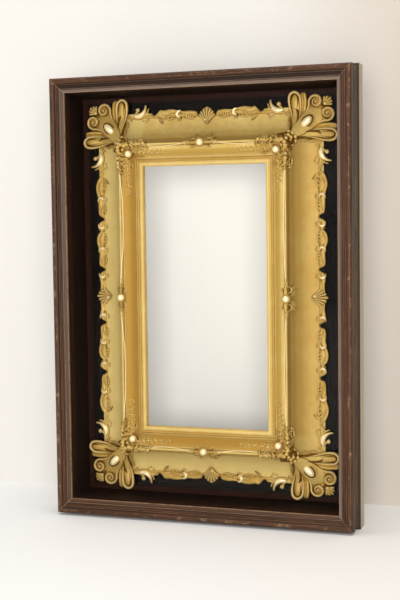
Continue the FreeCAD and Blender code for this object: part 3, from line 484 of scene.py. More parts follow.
# ornament: closed tubes and domes laid on the gilt frame's face, which is (offset from the opening, depth) in mm
face = np.array([(0, 51), (5, 51), (6.5, 52.4), (8.5, 52.6), (11, 50.8), (13.5, 52.6), (16, 49.5), (20, 45.6),
                 (26.5, 42.0), (32, 39.0), (37, 37), (38, 33.8), (40, 32.2), (42, 33.8), (44, 45), (52, 54.4),
                 (60, 62.0), (68, 67.6), (76, 72.4), (84, 76.4), (92, 79), (100, 79), (140, 79)], float)


def unit(v):
    return v / np.linalg.norm(v, axis=-1, keepdims=True)


def depthAt(u, v, corner):
    # depth of the face at offset v, or at a mitred corner at the rounded larger of u and v
    reach = 4.0
    if corner:
        v = (u + v + np.sqrt((u - v) ** 2 + reach ** 2)) / 2 - reach * 0.15
    return np.interp(v, face[:, 0], face[:, 1])


class Relief:
    # gathers closed shells in one flat layout (u, v, height), to be set down at several places
    def __init__(self, corner=False):
        self.corner, self.swapped, self.way = corner, False, 1  # swapped changes u and v over, way -1 mirrors u
        self.points, self.faces, self.recess, self.rubbed, self.count = [], [], [], [], 0

    def shell(self, grid, recess, rubbed):
        # rows x around grid closed round its second axis, with a pole at each end
        rows, around = grid.shape[:2]
        poles = np.array([grid[0].mean(0), grid[-1].mean(0)])
        index = np.arange(rows * around).reshape(rows, around) + self.count
        nextOne = np.roll(index, -1, 1)
        quads = np.stack([index[:-1], nextOne[:-1], nextOne[1:], index[1:]], -1).reshape(-1, 4)
        first, last = self.count + rows * around, self.count + rows * around + 1
        capA = np.stack([np.full(around, first), nextOne[0], index[0]], -1)
        capB = np.stack([np.full(around, last), index[-1], nextOne[-1]], -1)
        self.points += [grid.reshape(-1, 3), poles]
        self.recess += [recess.ravel(), np.array([recess[0].mean(), recess[-1].mean()])]
        rub = np.broadcast_to(np.reshape(rubbed, (-1, 1)), (rows, around))
        self.rubbed += [rub.ravel(), np.array([rub[0].mean(), rub[-1].mean()])]
        self.faces += quads.tolist() + capA.tolist() + capB.tolist()
        self.count += rows * around + 2

    def stroke(self, path, width, height, flute=0.0, lift=0.0, rubbed=0.0, deep=0.0, rows=22, around=12):
        # tube along a smooth line through path: half ellipse above, shallower below, ends rounded off;
        # a flute dips the middle of its back by a bell curve; deep and rubbed set its painted shade and highlight
        path = np.array(path, float) * (self.way, 1)
        path = path[:, ::-1] if self.swapped else path
        t = (1 - np.cos(np.linspace(0, np.pi, rows + 2)[1:-1])) / 2
        line = smoothLine(path, t)
        grow = lambda value: np.interp(t, np.linspace(0, 1, np.size(value)), np.atleast_1d(value))
        across, tall, raised = grow(width), grow(height), grow(lift)
        run = np.r_[0, np.cumsum(np.hypot(*np.diff(line, axis=0).T))]
        run = run + run[-1] * 0.01
        ends = np.minimum(run, run[-1] * 1.01 - run) / np.maximum(across, 0.1)
        rounding = np.sqrt(1 - (1 - np.clip(ends, 0, 1)) ** 2)
        across, tall = across * rounding, tall * rounding
        depth = depthAt(line[:, 0], line[:, 1], self.corner)
        centre = np.c_[line, raised - depth]
        ahead = unit(np.gradient(centre, axis=0))
        step = 5.0
        u, v = line.T
        slopeU = depthAt(u + step, v, self.corner) - depthAt(u - step, v, self.corner)
        slopeV = depthAt(u, v + step, self.corner) - depthAt(u, v - step, self.corner)
        up = np.c_[slopeU * 0.7, slopeV * 0.7, np.full(len(t), 2 * step)]  # leans with the face, less steep
        side = unit(np.cross(up, ahead))
        up = np.cross(ahead, side)
        angle = np.linspace(0, 2 * np.pi, around, endpoint=False)
        cosA, sinA = np.cos(angle), np.sin(angle)
        dip = 1 - flute * np.exp(-(cosA / 0.46) ** 2) * (sinA > 0)
        rise = np.where(sinA > 0, sinA * dip, sinA * 0.55)
        grid = (centre[:, None] + side[:, None] * (across[:, None] * cosA)[..., None]
                + up[:, None] * (tall[:, None] * rise)[..., None])
        # painted shade: the flanks, underside and flute go to recess, raised further by deep
        recess = np.clip(1 - rise * 1.25, 0, 1)[None] * np.ones((len(t), 1)) + grow(deep)[:, None]
        recess = recess + flute * 1.1 * np.exp(-(cosA / 0.4) ** 2) * (sinA > 0)
        self.shell(grid, np.clip(recess, 0, 1), grow(rubbed))

    def dome(self, u, v, wide, tall, height=0.0, long=1.0, turn=0.0, rubbed=0.0, deep=0.0, rows=9, around=18):
        # squashed sphere: half axes wide x wide*long, height tall, centred height above the face
        polar = np.linspace(0, np.pi, rows + 2)[1:-1, None]
        angle = np.linspace(0, 2 * np.pi, around, endpoint=False)[None]
        u, v = (v, u) if self.swapped else (u * self.way, v)
        a, b = wide * np.sin(polar) * np.cos(angle) * long, wide * np.sin(polar) * np.sin(angle)
        h = tall * np.cos(polar) + 0 * angle
        c, s = math.cos(turn), math.sin(turn)
        base = height - depthAt(u, v, self.corner)
        grid = np.stack([u + a * c - b * s, v + a * s + b * c, base + h], -1)
        # painted shade: the dome's lower part goes to recess, all of it with a high deep
        self.shell(grid, np.clip(0.7 - h / tall + deep, 0, 1), rubbed)

    def ring(self, u, v, radius, thick, height, long=1.0, turn=0.0, deep=0.0):
        # torus as a tube whose line nearly closes, half a step short, stretched along one way
        angle = np.linspace(0, 2 * np.pi, 29)[:, None]
        tube = np.linspace(0, 2 * np.pi, 8, endpoint=False)[None]
        c, s = math.cos(turn), math.sin(turn)
        reach = radius + thick * np.cos(tube)
        a, b = (radius * (long - 1) + reach) * np.cos(angle), reach * np.sin(angle)
        base = height - depthAt(u, v, self.corner)
        h = base + thick * np.sin(tube) + 0 * angle
        grid = np.stack([u + a * c - b * s, v + a * s + b * c, h], -1)
        # painted shade: the ring's lower side goes to recess
        self.shell(grid, np.clip(0.6 - np.sin(tube) + deep, 0, 1) + 0 * angle, 0.0)

    def lay(self, name, u, v, origin, slotName, replaced=(), material=None):
        # sets the layout down: u and v are its directions in (x, z), origin where its zero is, in metres
        points = np.concatenate(self.points) / 1000
        x = origin[0] + points[:, 0] * u[0] + points[:, 1] * v[0]
        z = midZ + origin[1] + points[:, 0] * u[1] + points[:, 1] * v[1]
        mesh = bpy.data.meshes.new(name)
        mesh.from_pydata(np.c_[x, frontY - points[:, 2], z].tolist(), [], self.faces)
        for key, values in (("recess", self.recess), ("rubbed", self.rubbed)):
            layer = mesh.attributes.new(key, "FLOAT", "POINT")
            layer.data.foreach_set("value", np.concatenate(values).astype(np.float32))
        sheet = bmesh.new()
        sheet.from_mesh(mesh)
        bmesh.ops.recalc_face_normals(sheet, faces=sheet.faces)
        sheet.to_mesh(mesh)
        sheet.free()
        mesh.polygons.foreach_set("use_smooth", np.ones(len(mesh.polygons), bool))
        mesh.materials.append(material or giltCarved)
        piece = newObject(name, mesh)
        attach(piece, "case")
        if replaced:
            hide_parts(*replaced)


def smoothLine(path, t):
    # Catmull-Rom curve through the points of path, at shares t of it
    path = path[:, :2]
    padded = np.vstack([2 * path[0] - path[1], path, 2 * path[-1] - path[-2]])
    place = t * (len(path) - 1)
    k = np.minimum(place.astype(int), len(path) - 2)
    f = (place - k)[:, None]
    p0, p1, p2, p3 = padded[k], padded[k + 1], padded[k + 2], padded[k + 3]
    second, third = 2 * p0 - 5 * p1 + 4 * p2 - p3, 3 * p1 - p0 - 3 * p2 + p3
    return 0.5 * (2 * p1 + (p2 - p0) * f + second * f ** 2 + third * f ** 3)


def spiral(u, v, radius, start, turns, inner):
    # radius shrinks evenly with the angle turned, to inner of what it was
    share = np.linspace(0, 1, 26)
    angle = math.radians(start) + share * turns * 2 * np.pi
    reach = radius * (1 - (1 - inner) * share)
    return np.c_[u + reach * np.cos(angle), v + reach * np.sin(angle)]


# mm out from the opening's corner
cornerStyle = {"volute": (87, 108.5), "voluteRadius": 13.2, "rimWide": 2.7, "rollWide": 9.2, "hub": 102,
               "cabochon": (73, 73), "cabochonTurn": math.radians(45)}


def cornerRelief():
    # one corner, offsets from the opening's corner; its second half is the first with u and v swapped. Strokes and
    # domes with a high deep are dark shapes of painted shade, those with rubbed carry painted highlights
    r = Relief(corner=True)
    s = cornerStyle
    r.stroke([(48, 48), (60, 60), (78, 78), (96, 96)], [6, 14, 18, 22], [3, 4.6, 5.2, 4.6], lift=-0.6, rows=34,
             around=26)
    for r.swapped in (False, True):
        r.stroke([(52, 62), (56, 84), (57, 104), (56, 117)], [8, 13, 16, 12], 3.4, lift=-0.8, deep=0.35)
        r.stroke([(70, 84), (78, 98), (88, 106), (100, 100)], [9, 12, 12, 10], 2.6, lift=-0.8, deep=0.45)
        flute = [(54, 60), (60, 76), (63.5, 94), (64.5, 110), (63.5, 126)]
        r.stroke(flute, [2.6, 4.8, 6.2, 6.6, 5.6], [3.0, 4.4, 5.2, 5.6, 5], flute=0.35, lift=[0, 0, 0, 0.3, 0.6],
                 deep=0.2, rows=36, around=22)
        roll = [(49, 58), (51, 76), (51.5, 94), (49.5, 108), (48.5, 121)]
        r.stroke(roll, [3.6, 7.2, 9.2, 9.6, s["rollWide"]], [3.4, 5.4, 6.4, 6.8, 6.4], flute=0.12,
                 lift=[0, 0.2, 0.5, 1.2, 2.2], rows=40, around=26)
        r.stroke([(54, 68), (56, 80), (54.5, 92), (50, 97)], [0.8, 2.0, 2.2, 0.7], 1.8, lift=[4.6, 6.0, 6.4, 6.6],
                 deep=0.9, rows=30, around=8)
        r.stroke([(45, 62), (43.5, 76), (44, 90), (42.5, 98)], [1.2, 2.6, 2.4, 0.8], 2.2, lift=2.6, deep=0.8, rows=26,
                 around=8)
        r.stroke([(50, 88), (50, 100), (49.5, 112), (49, 122)], [1.2, 4.4, 6.2, 5.2], [1, 2, 2.6, 2.4],
                 lift=[5, 6, 6.8, 7.2], deep=[0.1, 0.3, 0.5, 0.6], rows=30, around=14)
        rim = [(55, 68), (58, 84), (59.5, 98), (59.5, 110), (57.5, 120.5), (49.5, 126.5), (41, 122.5), (38.6, 112),
               (40, 100), (43.5, 86), (46, 72)]
        r.stroke(rim, [0.7, 1.3, 1.8, 2.3, 2.6, 2.8, 2.8, 2.4, 1.9, 1.3, 0.7],
                 [2, 3, 3.6, 4, 4.4, 4.6, 4.6, 4, 3.4, 3, 2], lift=[2, 3.6, 4.6, 5.2, 5.6, 6.2, 6.2, 6, 5, 3.6, 2],
                 rubbed=0.18, rows=84, around=12)
        stem = [(57, 66), (65, 79), (69.5, 89), (72.5, 97)]
        volute = np.vstack([stem, spiral(*s["volute"], s["voluteRadius"], 200, -1.3, 0.26)])
        r.dome(*s["volute"], 10.6, 2.6, 1.8, deep=0.8)
        r.stroke(volute, [1.8, 2.2, s["rimWide"], s["rimWide"], s["rimWide"], 2.0, 1.4, 1.0],
                 [3, 4, 5, 5.4, 5.2, 4.4, 3.4], lift=[1.6, 2, 2.2, 2.8, 3.2, 3.6, 4], rubbed=0.12, rows=84, around=14)
        r.dome(*s["volute"], 2.2, 2.6, 5.6, rubbed=0.3)
        r.stroke([(43, 56), (47.5, 70), (48, 86), (43, 98)], [2.4, 3.2, 3.4, 2.2], 1.6, lift=0.4, deep=1.0, rows=24,
                 around=8)
        for *path, wide in (((43, 99), (37, 94), (30, 85), 3.4), ((45, 88), (39, 82), (37, 73), 3.4),
                            ((45, 75), (40, 68), (41, 58), 3.2)):
            r.stroke(path, [wide * 0.7, wide, 0.7], [2.4, 2.8, 1.2], flute=0.5, lift=0.5, rows=18, around=14)
        scroll = [(27, 97.5), (21, 95.6), (14, 96.4), (8, 100.6), (3.6, 107.5), (2.4, 115.5)]
        r.stroke(scroll, [1.8, 4.0, 5.0, 4.2, 2.6, 1.5], [2.4, 4, 5, 4.6, 3.6, 2.4], lift=1.4,
                 rubbed=[0.7, 1, 1, 1, 0.5, 0.15, 0.1], rows=40, around=16)
        r.stroke([(31, 92), (20, 90.6), (10, 92.5), (1, 100), (-3, 109)], [1.2, 2.0, 2.4, 2.2, 1.2], [2, 2.6, 3, 3, 2],
                 lift=0.4, deep=0.25, rows=34)
        r.dome(18.5, 107, 4.2, 4.2, 1.8, rubbed=0.2)
        r.stroke([(24, 99), (20, 103), (18, 108)], [2.4, 3, 2], 2.4, lift=0.4, deep=0.3)
        for at in ((8, 86), (2, 84), (-2, 88)):
            r.dome(*at, 1.7, 1.5, 0.6, deep=0.25, rows=5, around=10)
    r.swapped = False
    hub = s["hub"]
    for angle in (5, 25, 45, 65, 85):
        c, k = math.cos(math.radians(angle)), math.sin(math.radians(angle))
        reach = 19 - abs(angle - 45) * 0.08
        rib = [(hub + c * far, hub + k * far) for far in (2, reach * 0.6, reach)]
        r.stroke(rib, [1.6, 2.5, 2.9], [3, 4.4, 4.4], lift=[1, 2.4, 1.8])
    r.dome(hub + 2.5, hub + 2.5, 4.0, 3.4, 3.6, rubbed=0.1)
    r.stroke([(hub - 9, hub + 4), (hub - 2, hub - 2), (hub + 4, hub - 9)], [1.4, 2.6, 1.4], 1.8, lift=3.4, deep=1.0,
             rows=20, around=8)
    r.ring(*s["cabochon"], 10.6, 1.0, 5.4, long=1.46, turn=s["cabochonTurn"], deep=0.1)
    r.dome(*s["cabochon"], 10.4, 4.4, 4.4, long=1.46, turn=s["cabochonTurn"], deep=1.0)
    return r


# mm: the rose's place, and how many leaves and sprigs there are and how long the largest
garlandStyle = {"roseAt": 42, "leaves": 15, "leafLong": 12.4, "sprigs": 23, "sprigLong": 11.5}


def sprayRelief():
    # rose over the reed's mitre and a garland along the rounded band of both rails, over dark strokes of painted
    # shade; some domes carry painted highlights
    r = Relief(corner=True)
    roseAt = garlandStyle["roseAt"]
    r.stroke([(30, 30), (38, 38), (50, 50)], [12, 17, 13], 2.2, lift=1.0, deep=0.9)
    for count, reach, size, high in ((10, 12.6, 4.2, 3.6), (6, 6.6, 4.0, 5.6)):
        for k in range(count):
            angle = k * 2 * math.pi / count + 0.3
            u, v = roseAt + reach * math.cos(angle), roseAt + reach * math.sin(angle)
            r.dome(u, v, size, 2.8, high, deep=0.08, rows=7, around=12)
    r.dome(roseAt, roseAt, 3.4, 3.2, 7.4, rubbed=0.3)
    for r.swapped in (False, True):
        r.stroke([(44, 42), (28, 45), (10, 43), (-4, 40.5)], [5, 6.5, 4.5, 1.6], 1.6, lift=0.6, deep=0.75, rows=26)
        for k in range(6):
            angle = k * math.pi / 3
            r.dome(1 + 4.6 * math.cos(angle), 45 + 4.6 * math.sin(angle), 3.3, 2.6, 3.6, deep=0.05, rows=6, around=10)
        r.dome(1, 45, 2.4, 2.4, 5.6, rubbed=0.3, rows=6, around=10)
        r.stroke([(12, 24), (2, 25), (-10, 24)], [7, 8.5, 3], 1.4, lift=0.3, deep=0.85, rows=20, around=14)
        for *path, wide in (((13, 23), (4, 25.5), (-6, 24.5), (-13, 22), 4.6), ((9, 26), (1, 31), (-7, 32), 3.0),
                            ((9, 21), (0, 18.5), (-8, 18.5), 2.8)):
            r.stroke(path, [wide * 0.5, wide, 0.8], [2.4, 3.8, 1.6], flute=0.5, lift=0.9, deep=0.1, rows=20, around=14)
        for k, at in enumerate(np.linspace(46, -10, garlandStyle["leaves"])):
            height = 44.5 - 0.045 * (46 - at) + rng.uniform(-2.6, 2.6)
            way = math.radians(180 + (74, -28, 30, -82, 48)[k % 5]) + rng.uniform(-0.35, 0.35)
            size = garlandStyle["leafLong"] - 0.08 * (46 - at) + rng.uniform(-2.6, 1.6)
            tip = (at + size * math.cos(way), height + size * math.sin(way))
            middle = ((at + tip[0]) / 2 - 0.6, (height + tip[1]) / 2 + 1.2 * math.sin(way))
            r.stroke([(at + 1, height), middle, tip], [1.8, 4.6, 0.8], [2.4, 4.4, 1.6], flute=0.45, lift=1.8, rows=12,
                     around=12)
            if k % 2:
                r.dome(at - 3, height + 1.6 * math.cos(k), 2.8, 2.6, 3.6, rubbed=0.2, rows=6, around=10)
        stem = [(36, 33), (26, 30), (12, 29), (-2, 27.5), (-18, 27), (-34, 26), (-52, 25)]
        r.stroke([(28, 30), (10, 28.5), (-12, 27.5), (-40, 25.5)], [7, 6, 3.6, 1.4], 1.2, lift=0.2, deep=0.7, rows=30)
        r.stroke(stem, [1.3, 1.2, 1.0, 0.7], 2.0, lift=0.8, rows=48, around=8)
        for k, at in enumerate(np.linspace(0.0, 0.97, garlandStyle["sprigs"])):
            (a, b), (c, d) = smoothLine(np.array(stem, float), np.array([at, min(at + 0.03, 1.0)]))
            way = math.atan2(d - b, c - a) + (0.95 if k % 2 else -0.95) + rng.uniform(-0.2, 0.2)
            size = garlandStyle["sprigLong"] - 5.0 * at + rng.uniform(-1.4, 1.4)
            tip = (a + size * math.cos(way), b + size * math.sin(way))
            middle = ((a + tip[0]) / 2 + 0.8 * math.sin(way), (b + tip[1]) / 2)
            r.stroke([(a, b), middle, tip], [1.2, 3.4 - 1.2 * at, 0.6], [2.0, 3.6, 1.6], flute=0.45, lift=0.9, rows=10,
                     around=12)
            if k % 3 == 1:
                r.dome(a - 1.6 * math.sin(way), b + 2.4 * math.cos(way), 3.2 - at, 2.4, 2.8, rubbed=0.12, rows=6,
                       around=10)
    return r


# direction outwards across, direction outwards up, and where the layout's zero is
cornerPlaces = {name: ((x, 0), (0, z), (x * halfX, z * halfZ))
                for name, x, z in (("tl", -1, 1), ("tr", 1, 1), ("bl", -1, -1), ("br", 1, -1))}
cornerShape, sprayShape = cornerRelief(), sprayRelief()
for name, at in cornerPlaces.items():
    cornerShape.lay("corner_scrolls_" + name, *at, "gilt_ornament", ["corner_ornament_" + name])
    sprayShape.lay("corner_garland_" + name, *at, "gilt_ornament", ["flower_spray_" + name])
print("corner ornament done:", cornerShape.count, "points each")


# along the sides: shells, bosses, bowed reeds and the pierced border's scrolls
# mm: the reed's bow, half width, place outwards and start from the middle, and how far the reed and the border
# run past the opening's corner
sideStyle = {"bow": 4.6, "reed": 1.15, "reedOut": 40.6, "reedFrom": 24, "reedPast": 10, "borderPast": 26}
sidePlaces = {"top": ((1, 0), (0, 1), (0, halfZ)), "bottom": ((-1, 0), (0, -1), (0, -halfZ)),
              "right": ((0, -1), (1, 0), (halfX, 0)), "left": ((0, 1), (-1, 0), (-halfX, 0))}


shellStyle = {"ribs": 7, "spread": 44, "long": 29}  # degrees to each side, mm


def shellRelief():
    # shell with its point inwards: ribs fan outwards from it over a dark stroke of painted shade, with a bud at the
    # point carrying a painted highlight
    r = Relief()
    r.stroke([(0, 79), (0, 88), (0, 100)], [3, 8, 10], 2.0, lift=-0.2, deep=0.55, rows=20, around=18)
    for angle in np.linspace(-shellStyle["spread"], shellStyle["spread"], shellStyle["ribs"]):
        c, k = math.sin(math.radians(angle)), math.cos(math.radians(angle))
        reach = shellStyle["long"] - abs(angle) * 0.16
        r.stroke([(c * 4, 79 + k * 4), (c * reach * 0.55, 79 + k * reach * 0.55), (c * reach, 79 + k * reach)],
                 [1.1, 2.1, 2.8], [2.4, 4.0, 4.4], lift=[1, 2.0, 1.4], rows=18, around=12, rubbed=0.08)
    for r.way in (-1, 1):
        r.stroke([(0, 77), (7, 86), (13, 97)], [1.6, 2.4, 1.6], 2.2, lift=0.2, deep=0.35, rows=22)
    r.dome(-2.4, 84, 3.0, 2.8, 3.4, rubbed=0.5)
    r.dome(2.6, 83, 2.4, 2.4, 2.6, deep=0.4)
    return r


def flankRelief():
    # pair of curled leaves each side of the boss, over the reed
    r = Relief()
    for r.way in (-1, 1):
        # painted shade: a dark oval under the leaves, over the reed
        r.stroke([(6, 40), (16, 40), (26, 40)], [4.6, 4.2, 1.6], 1.4, lift=0.6, deep=0.45)
        r.stroke([(9, 42), (14, 46.5), (20, 45), (23, 40), (20, 37)], [2.2, 2.8, 2.4, 2.0, 1.4],
                 [3, 3.4, 3.2, 2.8, 2.2], lift=1.5, rows=28)
        r.stroke([(8, 38), (14, 33.5), (20, 31)], [2, 3.0, 0.8], [2.8, 3.2, 1.6], flute=0.45, lift=1.2)
        r.stroke([(8, 45), (12, 50), (19, 51)], [1.6, 2.8, 0.8], [2.2, 3.0, 1.4], flute=0.45, lift=0.8)
        r.stroke([(20, 41), (28, 42), (36, 40)], [1.8, 2.8, 0.8], [2.6, 2.8, 1.4], flute=0.45, lift=1.4)
        for at, tip, wide in (((5, 43), (12, 56), 3.2), ((13, 44), (25, 52), 3.4), ((10, 44), (17, 58), 2.6)):
            middle = ((at[0] + tip[0]) / 2 - 1.2, (at[1] + tip[1]) / 2 + 1.2)
            r.stroke([at, middle, tip], [1.4, wide, 0.7], [2.2, 3.4, 1.6], flute=0.45, lift=0.9)
        r.dome(27, 38.5, 2.2, 2.2, 2.6, rubbed=0.2, rows=6, around=10)
    return r


# the border's outer edge: (place from the side's middle, width, outwards) of its bulges and bites
edgeShapes = {"long": [(0, 11, 2.5), (33, 7, 2.0), (51, 5.0, -11.0), (66, 14, 2.0), (106, 17, 6.5), (124, 4, -4.0),
                       (136, 5, 3.0), (147, 5.0, -11.0), (170, 14, 2.0), (206, 17, 6.5), (232, 6, -7.0)],
              "short": [(0, 8, 7.0), (15.5, 3.8, -10.0), (34, 9, 1.5), (72, 18, 5.5), (92, 4.5, 3.5),
                        (104, 6.5, -6.0)]}
# its hooks, which carry painted highlights: place, and 1 where they open away from the side's middle, -1 towards it
brightHooks = {"long": [(39, 1), (88, -1), (133, 1), (184, -1)], "short": [(55, 1)]}


def borderRelief(half, kind):
    # pierced border: a ribbon whose outer edge adds a bell curve per bulge and bite, with hooks and leaves on it; dark
    # strokes by the hooks are painted shade
    r = Relief()
    s = np.linspace(-half, half, int(half * 1.7))
    edge = 101 + sum(out * np.exp(-((np.abs(s) - at) / wide) ** 2) for at, wide, out in edgeShapes[kind])
    inner = 90.5 + 1.2 * np.sin(s / 7.0) * np.sin(s / 2.9)
    angle = np.linspace(0, 2 * np.pi, 20, endpoint=False)
    share, rise = (1 - np.cos(angle)) / 2, np.sin(angle)
    o = inner[:, None] + (edge - inner)[:, None] * share
    middle = 0.5 + 0.22 * np.sin(np.abs(s) * 0.128 + 0.6)[:, None]
    vein = 0.8 * np.exp(-((share - middle) / 0.14) ** 2) * (rise > 0)
    fade = np.clip(share / 0.3, 0, 1)
    thick = np.where(rise > 0, 3.4 * np.abs(rise) ** 0.6 * (1 - vein) * fade, -1.6 * np.abs(rise) ** 0.5)
    grid = np.stack([s[:, None] + 0 * o, o, -78.6 + thick + 0 * o], -1)
    # painted shade: the ribbon's underside and its vein go to recess
    recess = np.clip(1.1 - rise * 1.3, 0, 1) * fade * 0.8 + vein * 0.8
    r.shell(grid, np.clip(recess + 0 * o, 0, 1), 0.0)
    for at, opens in brightHooks[kind]:
        for r.way in (-1, 1):
            turn = opens if kind == "long" else r.way  # both of a short side's hooks open to the right
            if kind == "long":
                hook = [(at + turn * 4.5, 92.5), (at - turn * 1.5, 93.2), (at - turn * 3.4, 97.5), (at - turn, 101.8),
                        (at + turn * 5, 103.4)]
                r.stroke(hook, [0.8, 1.8, 2.6, 1.9, 0.8], [2, 3.2, 3.8, 3.2, 2], lift=1.6,
                         rubbed=[0.1, 0.8, 1, 0.5, 0.1], rows=24, around=12)
                r.stroke([(at - turn * 7, 90), (at - turn * 8.5, 96), (at - turn * 6, 103)], [1.2, 1.8, 1.2], 2.2,
                         lift=1.0, deep=0.6, rows=16, around=8)
            else:
                r.stroke([(at + turn * 3, 91), (at - turn * 2.6, 93), (at - turn * 4.2, 97), (at - turn * 2.6, 101),
                          (at + turn * 3, 103.5)], [1.0, 2.4, 3.2, 2.6, 1.0], [2, 3.2, 3.8, 3.2, 2], lift=1.6,
                         rubbed=1.0, rows=24, around=12)
                r.stroke([(at + turn * 4, 88), (at + turn * 2, 94), (at + turn * 4, 101)], [2.0, 2.6, 1.4], 2.0,
                         lift=0.8, deep=0.9, rows=14, around=8)
            for k in (-1, 0, 1):  # beads under the hook
                r.dome(at + k * 3.2, 86.5 - (k == 0) * 1.6, 1.5, 1.4, 0.8, deep=0.2, rows=5, around=8)
    leafPlaces = [(60, 78), (98, 118), (156, 176), (196, 222)] if kind == "long" else [(62, 86), (22, 42)]
    for a, b in leafPlaces:
        for r.way in (-1, 1):
            r.stroke([(a, 92), ((a * 2 + b) / 3, 96.5), ((a + b * 2) / 3, 99.5), (b, 98)], [1.2, 3.0, 3.2, 0.9],
                     [2.4, 3.6, 3.6, 1.6], flute=0.5, lift=1.2, rows=30, around=14)
            r.stroke([(a, 89.5), ((a + b) / 2, 87.5), (b, 90)], [0.8, 2.0, 0.8], [1.2, 2.0, 1.2], flute=0.4, lift=0.2,
                     rows=18, around=10)
            for share in (0.2, 0.5, 0.8):
                at = a + (b - a) * share
                r.stroke([(at, 96), (at + 2, 91), (at + 5.5, 87.5)], [1.2, 1.9, 0.6], [2.2, 2.4, 1.2], flute=0.35,
                         lift=0.9, rows=10, around=10, deep=0.1)
    for r.way in (-1, 1):
        m = 226 if kind == "long" else 98
        r.stroke([(m, 92), (m - 5, 88), (m - 12, 81)], [1.6, 2.8, 0.8], [2.2, 2.6, 1.2], flute=0.45, lift=0.4, rows=16,
                 around=12)
        r.stroke([(m - 1, 89.5), (m - 7, 84.5), (m - 12, 79.5)], [1.0, 2.2, 0.7], 1.0, lift=-0.1, deep=1.0, rows=14,
                 around=8)
        if kind == "short":
            for k in range(5):
                at = 26 + k * 4.6
                r.stroke([(at, 101), (at + 0.6, 94), (at + 2, 89)], [1.3, 1.8, 0.9], [2.2, 2.8, 1.6], lift=1.0,
                         rows=12, around=10, deep=0.12)
    return r


def reedRelief(half):
    # reed on each half of a side, bright with a painted highlight, bowed inwards by a half sine between the flowers
    # and the boss
    r = Relief()
    first, past = sideStyle["reedFrom"], sideStyle["reedPast"]
    for r.way in (-1, 1):
        share = np.linspace(0, 1, 14)
        s = first + share * (half + past - first)
        line = np.c_[s, sideStyle["reedOut"] - sideStyle["bow"] * np.sin(np.pi * share)]
        r.stroke(line, sideStyle["reed"], 1.5, lift=0.7, rubbed=0.62, rows=60, around=10)
    return r


shellShape, flankShape = shellRelief(), flankRelief()
for name, at in sidePlaces.items():
    half = (halfX if name in ("top", "bottom") else halfZ) * 1000
    kind = "short" if name in ("top", "bottom") else "long"
    borderRelief(half + sideStyle["borderPast"], kind).lay("border_scrolls_" + name, *at, "gilt_ornament",
                                                           ["lace_border_" + name])
    reedRelief(half).lay("bowed_reed_" + name, *at, "gilt_burnished", material=giltBurnished)
    shellShape.lay("side_shell_" + name, *at, "gilt_ornament", ["mid_shells"])
    flankShape.lay("boss_leaves_" + name, *at, "gilt_ornament")
print("side ornament done")


# mm: places outwards and half widths of the long corner jewels, the round ones near the opening, and the sides'
jewelStyle = {"cornerAt": 72.5, "cornerWide": 6.8, "roundAt": 23, "roundWide": 6.2, "sideAt": 40.5, "sideWide": 6.4}


def bossSet(name, places, replaced, build):
    # one small dome and collar per place
    for key, at in places.items():
        r = Relief(corner=name == "corner")
        build(r)
        r.lay(name + "_jewels_" + key, *at, "gilt_burnished", replaced, giltBurnished)


# the long jewel and the round one carry painted highlights, the dark dome and collar under the round one painted shade
def cornerJewels(r):
    r.dome(jewelStyle["cornerAt"], jewelStyle["cornerAt"], jewelStyle["cornerWide"], 5.4, 7.2, long=1.78,
           turn=math.radians(45), rubbed=1.0, rows=15, around=28)
    at = jewelStyle["roundAt"]
    r.dome(at, at, 9.4, 3.4, 4.6, deep=1.0)
    r.ring(at, at, 7.4, 1.0, 7.6, deep=0.7)
    r.dome(at, at, jewelStyle["roundWide"], 5.4, 8.6, rubbed=1.0, rows=15, around=28)


# the dome carries a painted highlight, its collar painted shade
def sideJewels(r):
    r.ring(0, jewelStyle["sideAt"], 7.6, 1.2, 1.6, deep=0.8)
    r.dome(0, jewelStyle["sideAt"], jewelStyle["sideWide"], 5.6, 2.2, rubbed=1.0, rows=15, around=28)


bossSet("corner", cornerPlaces, ["corner_bosses", "corner_cabochons"], cornerJewels)
bossSet("side", sidePlaces, ["mid_bosses"], sideJewels)
print("jewels done")

# stage, light and camera
# wallRight and floorRight are painted shade towards the right; nearWall is painted light on the wall close behind the
# object
stageStyle = {"wallY": 0.195, "darkens": (0.0, 0.42), "nearWall": (250, 247, 242), "floor": (250, 250, 250),
              "floorRight": (248, 246, 244), "wall": (226, 223, 218), "wallRight": (201, 191, 179),
              "sky": (1.0, 0.99, 0.975, 1), "skyStrength": 0.48, "lamps": (1.0, 0.985, 0.965)}
cameraStyle = {"lens": 72, "eye": (0.7021, -2.0962, 0.5575), "yaw": 18.722, "pitch": 3.817, "roll": -0.741}


def plane(name, corners, material):
    mesh = bpy.data.meshes.new(name)
    mesh.from_pydata(corners, [], [(0, 1, 2, 3)])
    mesh.materials.append(material)
    newObject(name, mesh)


def stageMaterial(name, colour, rightColour, isWall):
    # plain matt near-white, with painted shade making it a little darker to the right; the wall is painted paler close
    # behind the object, where less light reaches it, and clear from behind, so that the object's back can be looked at
    mat, tree, shader = newMaterial(name)
    place = node(tree, "TexCoord").outputs["Object"]
    axes = node(tree, "SeparateXYZ", {"Vector": place}).outputs
    shade = blendColours(tree, span(tree, axes[0], *stageStyle["darkens"]), tone(*colour), tone(*rightColour))
    if isWall:
        aside = calc(tree, "DIVIDE", absolute(tree, calc(tree, "ADD", axes[0], 0.07)), 0.7)
        above = absolute(tree, minus(tree, axes[2], midZ))
        near = span(tree, calc(tree, "MAXIMUM", aside, above), 0.36, 0.26)
        shade = blendColours(tree, near, shade, tone(*stageStyle["nearWall"]))
    link(tree, shader, Base_Color=shade, Roughness=0.9, Specular_IOR_Level=0.1)
    if isWall:
        behind = node(tree, "NewGeometry").outputs["Backfacing"]
        mixSurface(tree, behind, shader, node(tree, "BsdfTransparent"))
    return mat


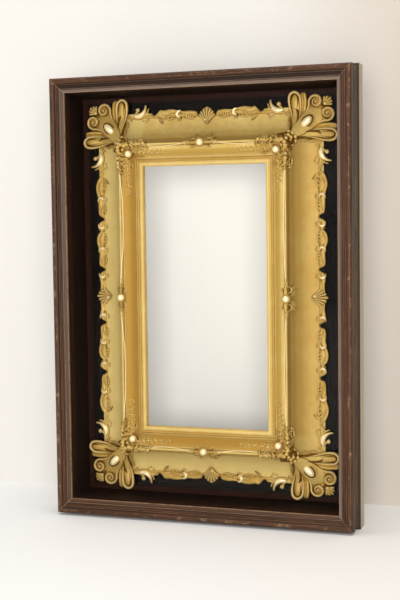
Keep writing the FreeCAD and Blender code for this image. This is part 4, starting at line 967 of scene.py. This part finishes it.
wallY = stageStyle["wallY"]
plane("floor", [(-6, -5, 0), (6, -5, 0), (6, wallY, 0), (-6, wallY, 0)],
      stageMaterial("floorWhite", stageStyle["floor"], stageStyle["floorRight"], False))
plane("wall", [(-6, wallY, 0), (6, wallY, 0), (6, wallY, 5), (-6, wallY, 5)],
      stageMaterial("wallWhite", stageStyle["wall"], stageStyle["wallRight"], True))

world = bpy.data.worlds.new("studio")
world.use_nodes = True
sky = world.node_tree.nodes["Background"].inputs
sky["Color"].default_value = stageStyle["sky"]
sky["Strength"].default_value = stageStyle["skyStrength"]
bpy.context.scene.world = world


def softbox(name, place, target, size, power):
    # rectangular lamp at place, its face turned to target
    lamp = bpy.data.lights.new(name, "AREA")
    lamp.shape, lamp.size, lamp.size_y = "RECTANGLE", size[0], size[1]
    lamp.energy, lamp.color = power, stageStyle["lamps"]
    away = unit(np.array(place, float) - np.array(target, float))
    side = unit(np.cross((0, 0, 1), away))
    turn = np.eye(4)
    turn[:3, :3] = np.c_[side, np.cross(away, side), away]
    turn[:3, 3] = place
    newObject(name, lamp).matrix_world = Matrix(turn.tolist())


softbox("keyLight", (-2.6, -2.2, 1.1), (0, 0, 0.4), (1.5, 1.5), 9)
softbox("fillLight", (0.9, -3.2, 0.7), (0, 0, 0.4), (1.8, 1.4), 72)
softbox("topLight", (0.0, -0.7, 3.4), (0, -0.6, 0), (3.0, 1.6), 38)


def placeCamera(s):
    # looks along yaw and pitch, then rolls about the line of sight
    yaw, pitch, roll = (math.radians(s[k]) for k in ("yaw", "pitch", "roll"))
    ahead = np.array([-math.sin(yaw) * math.cos(pitch), math.cos(yaw) * math.cos(pitch), -math.sin(pitch)])
    right = np.array([math.cos(yaw), math.sin(yaw), 0])
    up = np.cross(right, ahead)
    turned = np.eye(4)
    turned[:3, 0] = math.cos(roll) * right + math.sin(roll) * up
    turned[:3, 1] = -math.sin(roll) * right + math.cos(roll) * up
    turned[:3, 2] = -ahead
    turned[:3, 3] = s["eye"]
    lens = bpy.data.cameras.new("camera")
    lens.lens, lens.sensor_width, lens.clip_end = s["lens"], 36, 50
    camera = newObject("camera", lens)
    camera.matrix_world = Matrix(turned.tolist())
    bpy.context.scene.camera = camera


placeCamera(cameraStyle)
bpy.context.scene.view_settings.view_transform = "Standard"
print("stage done")
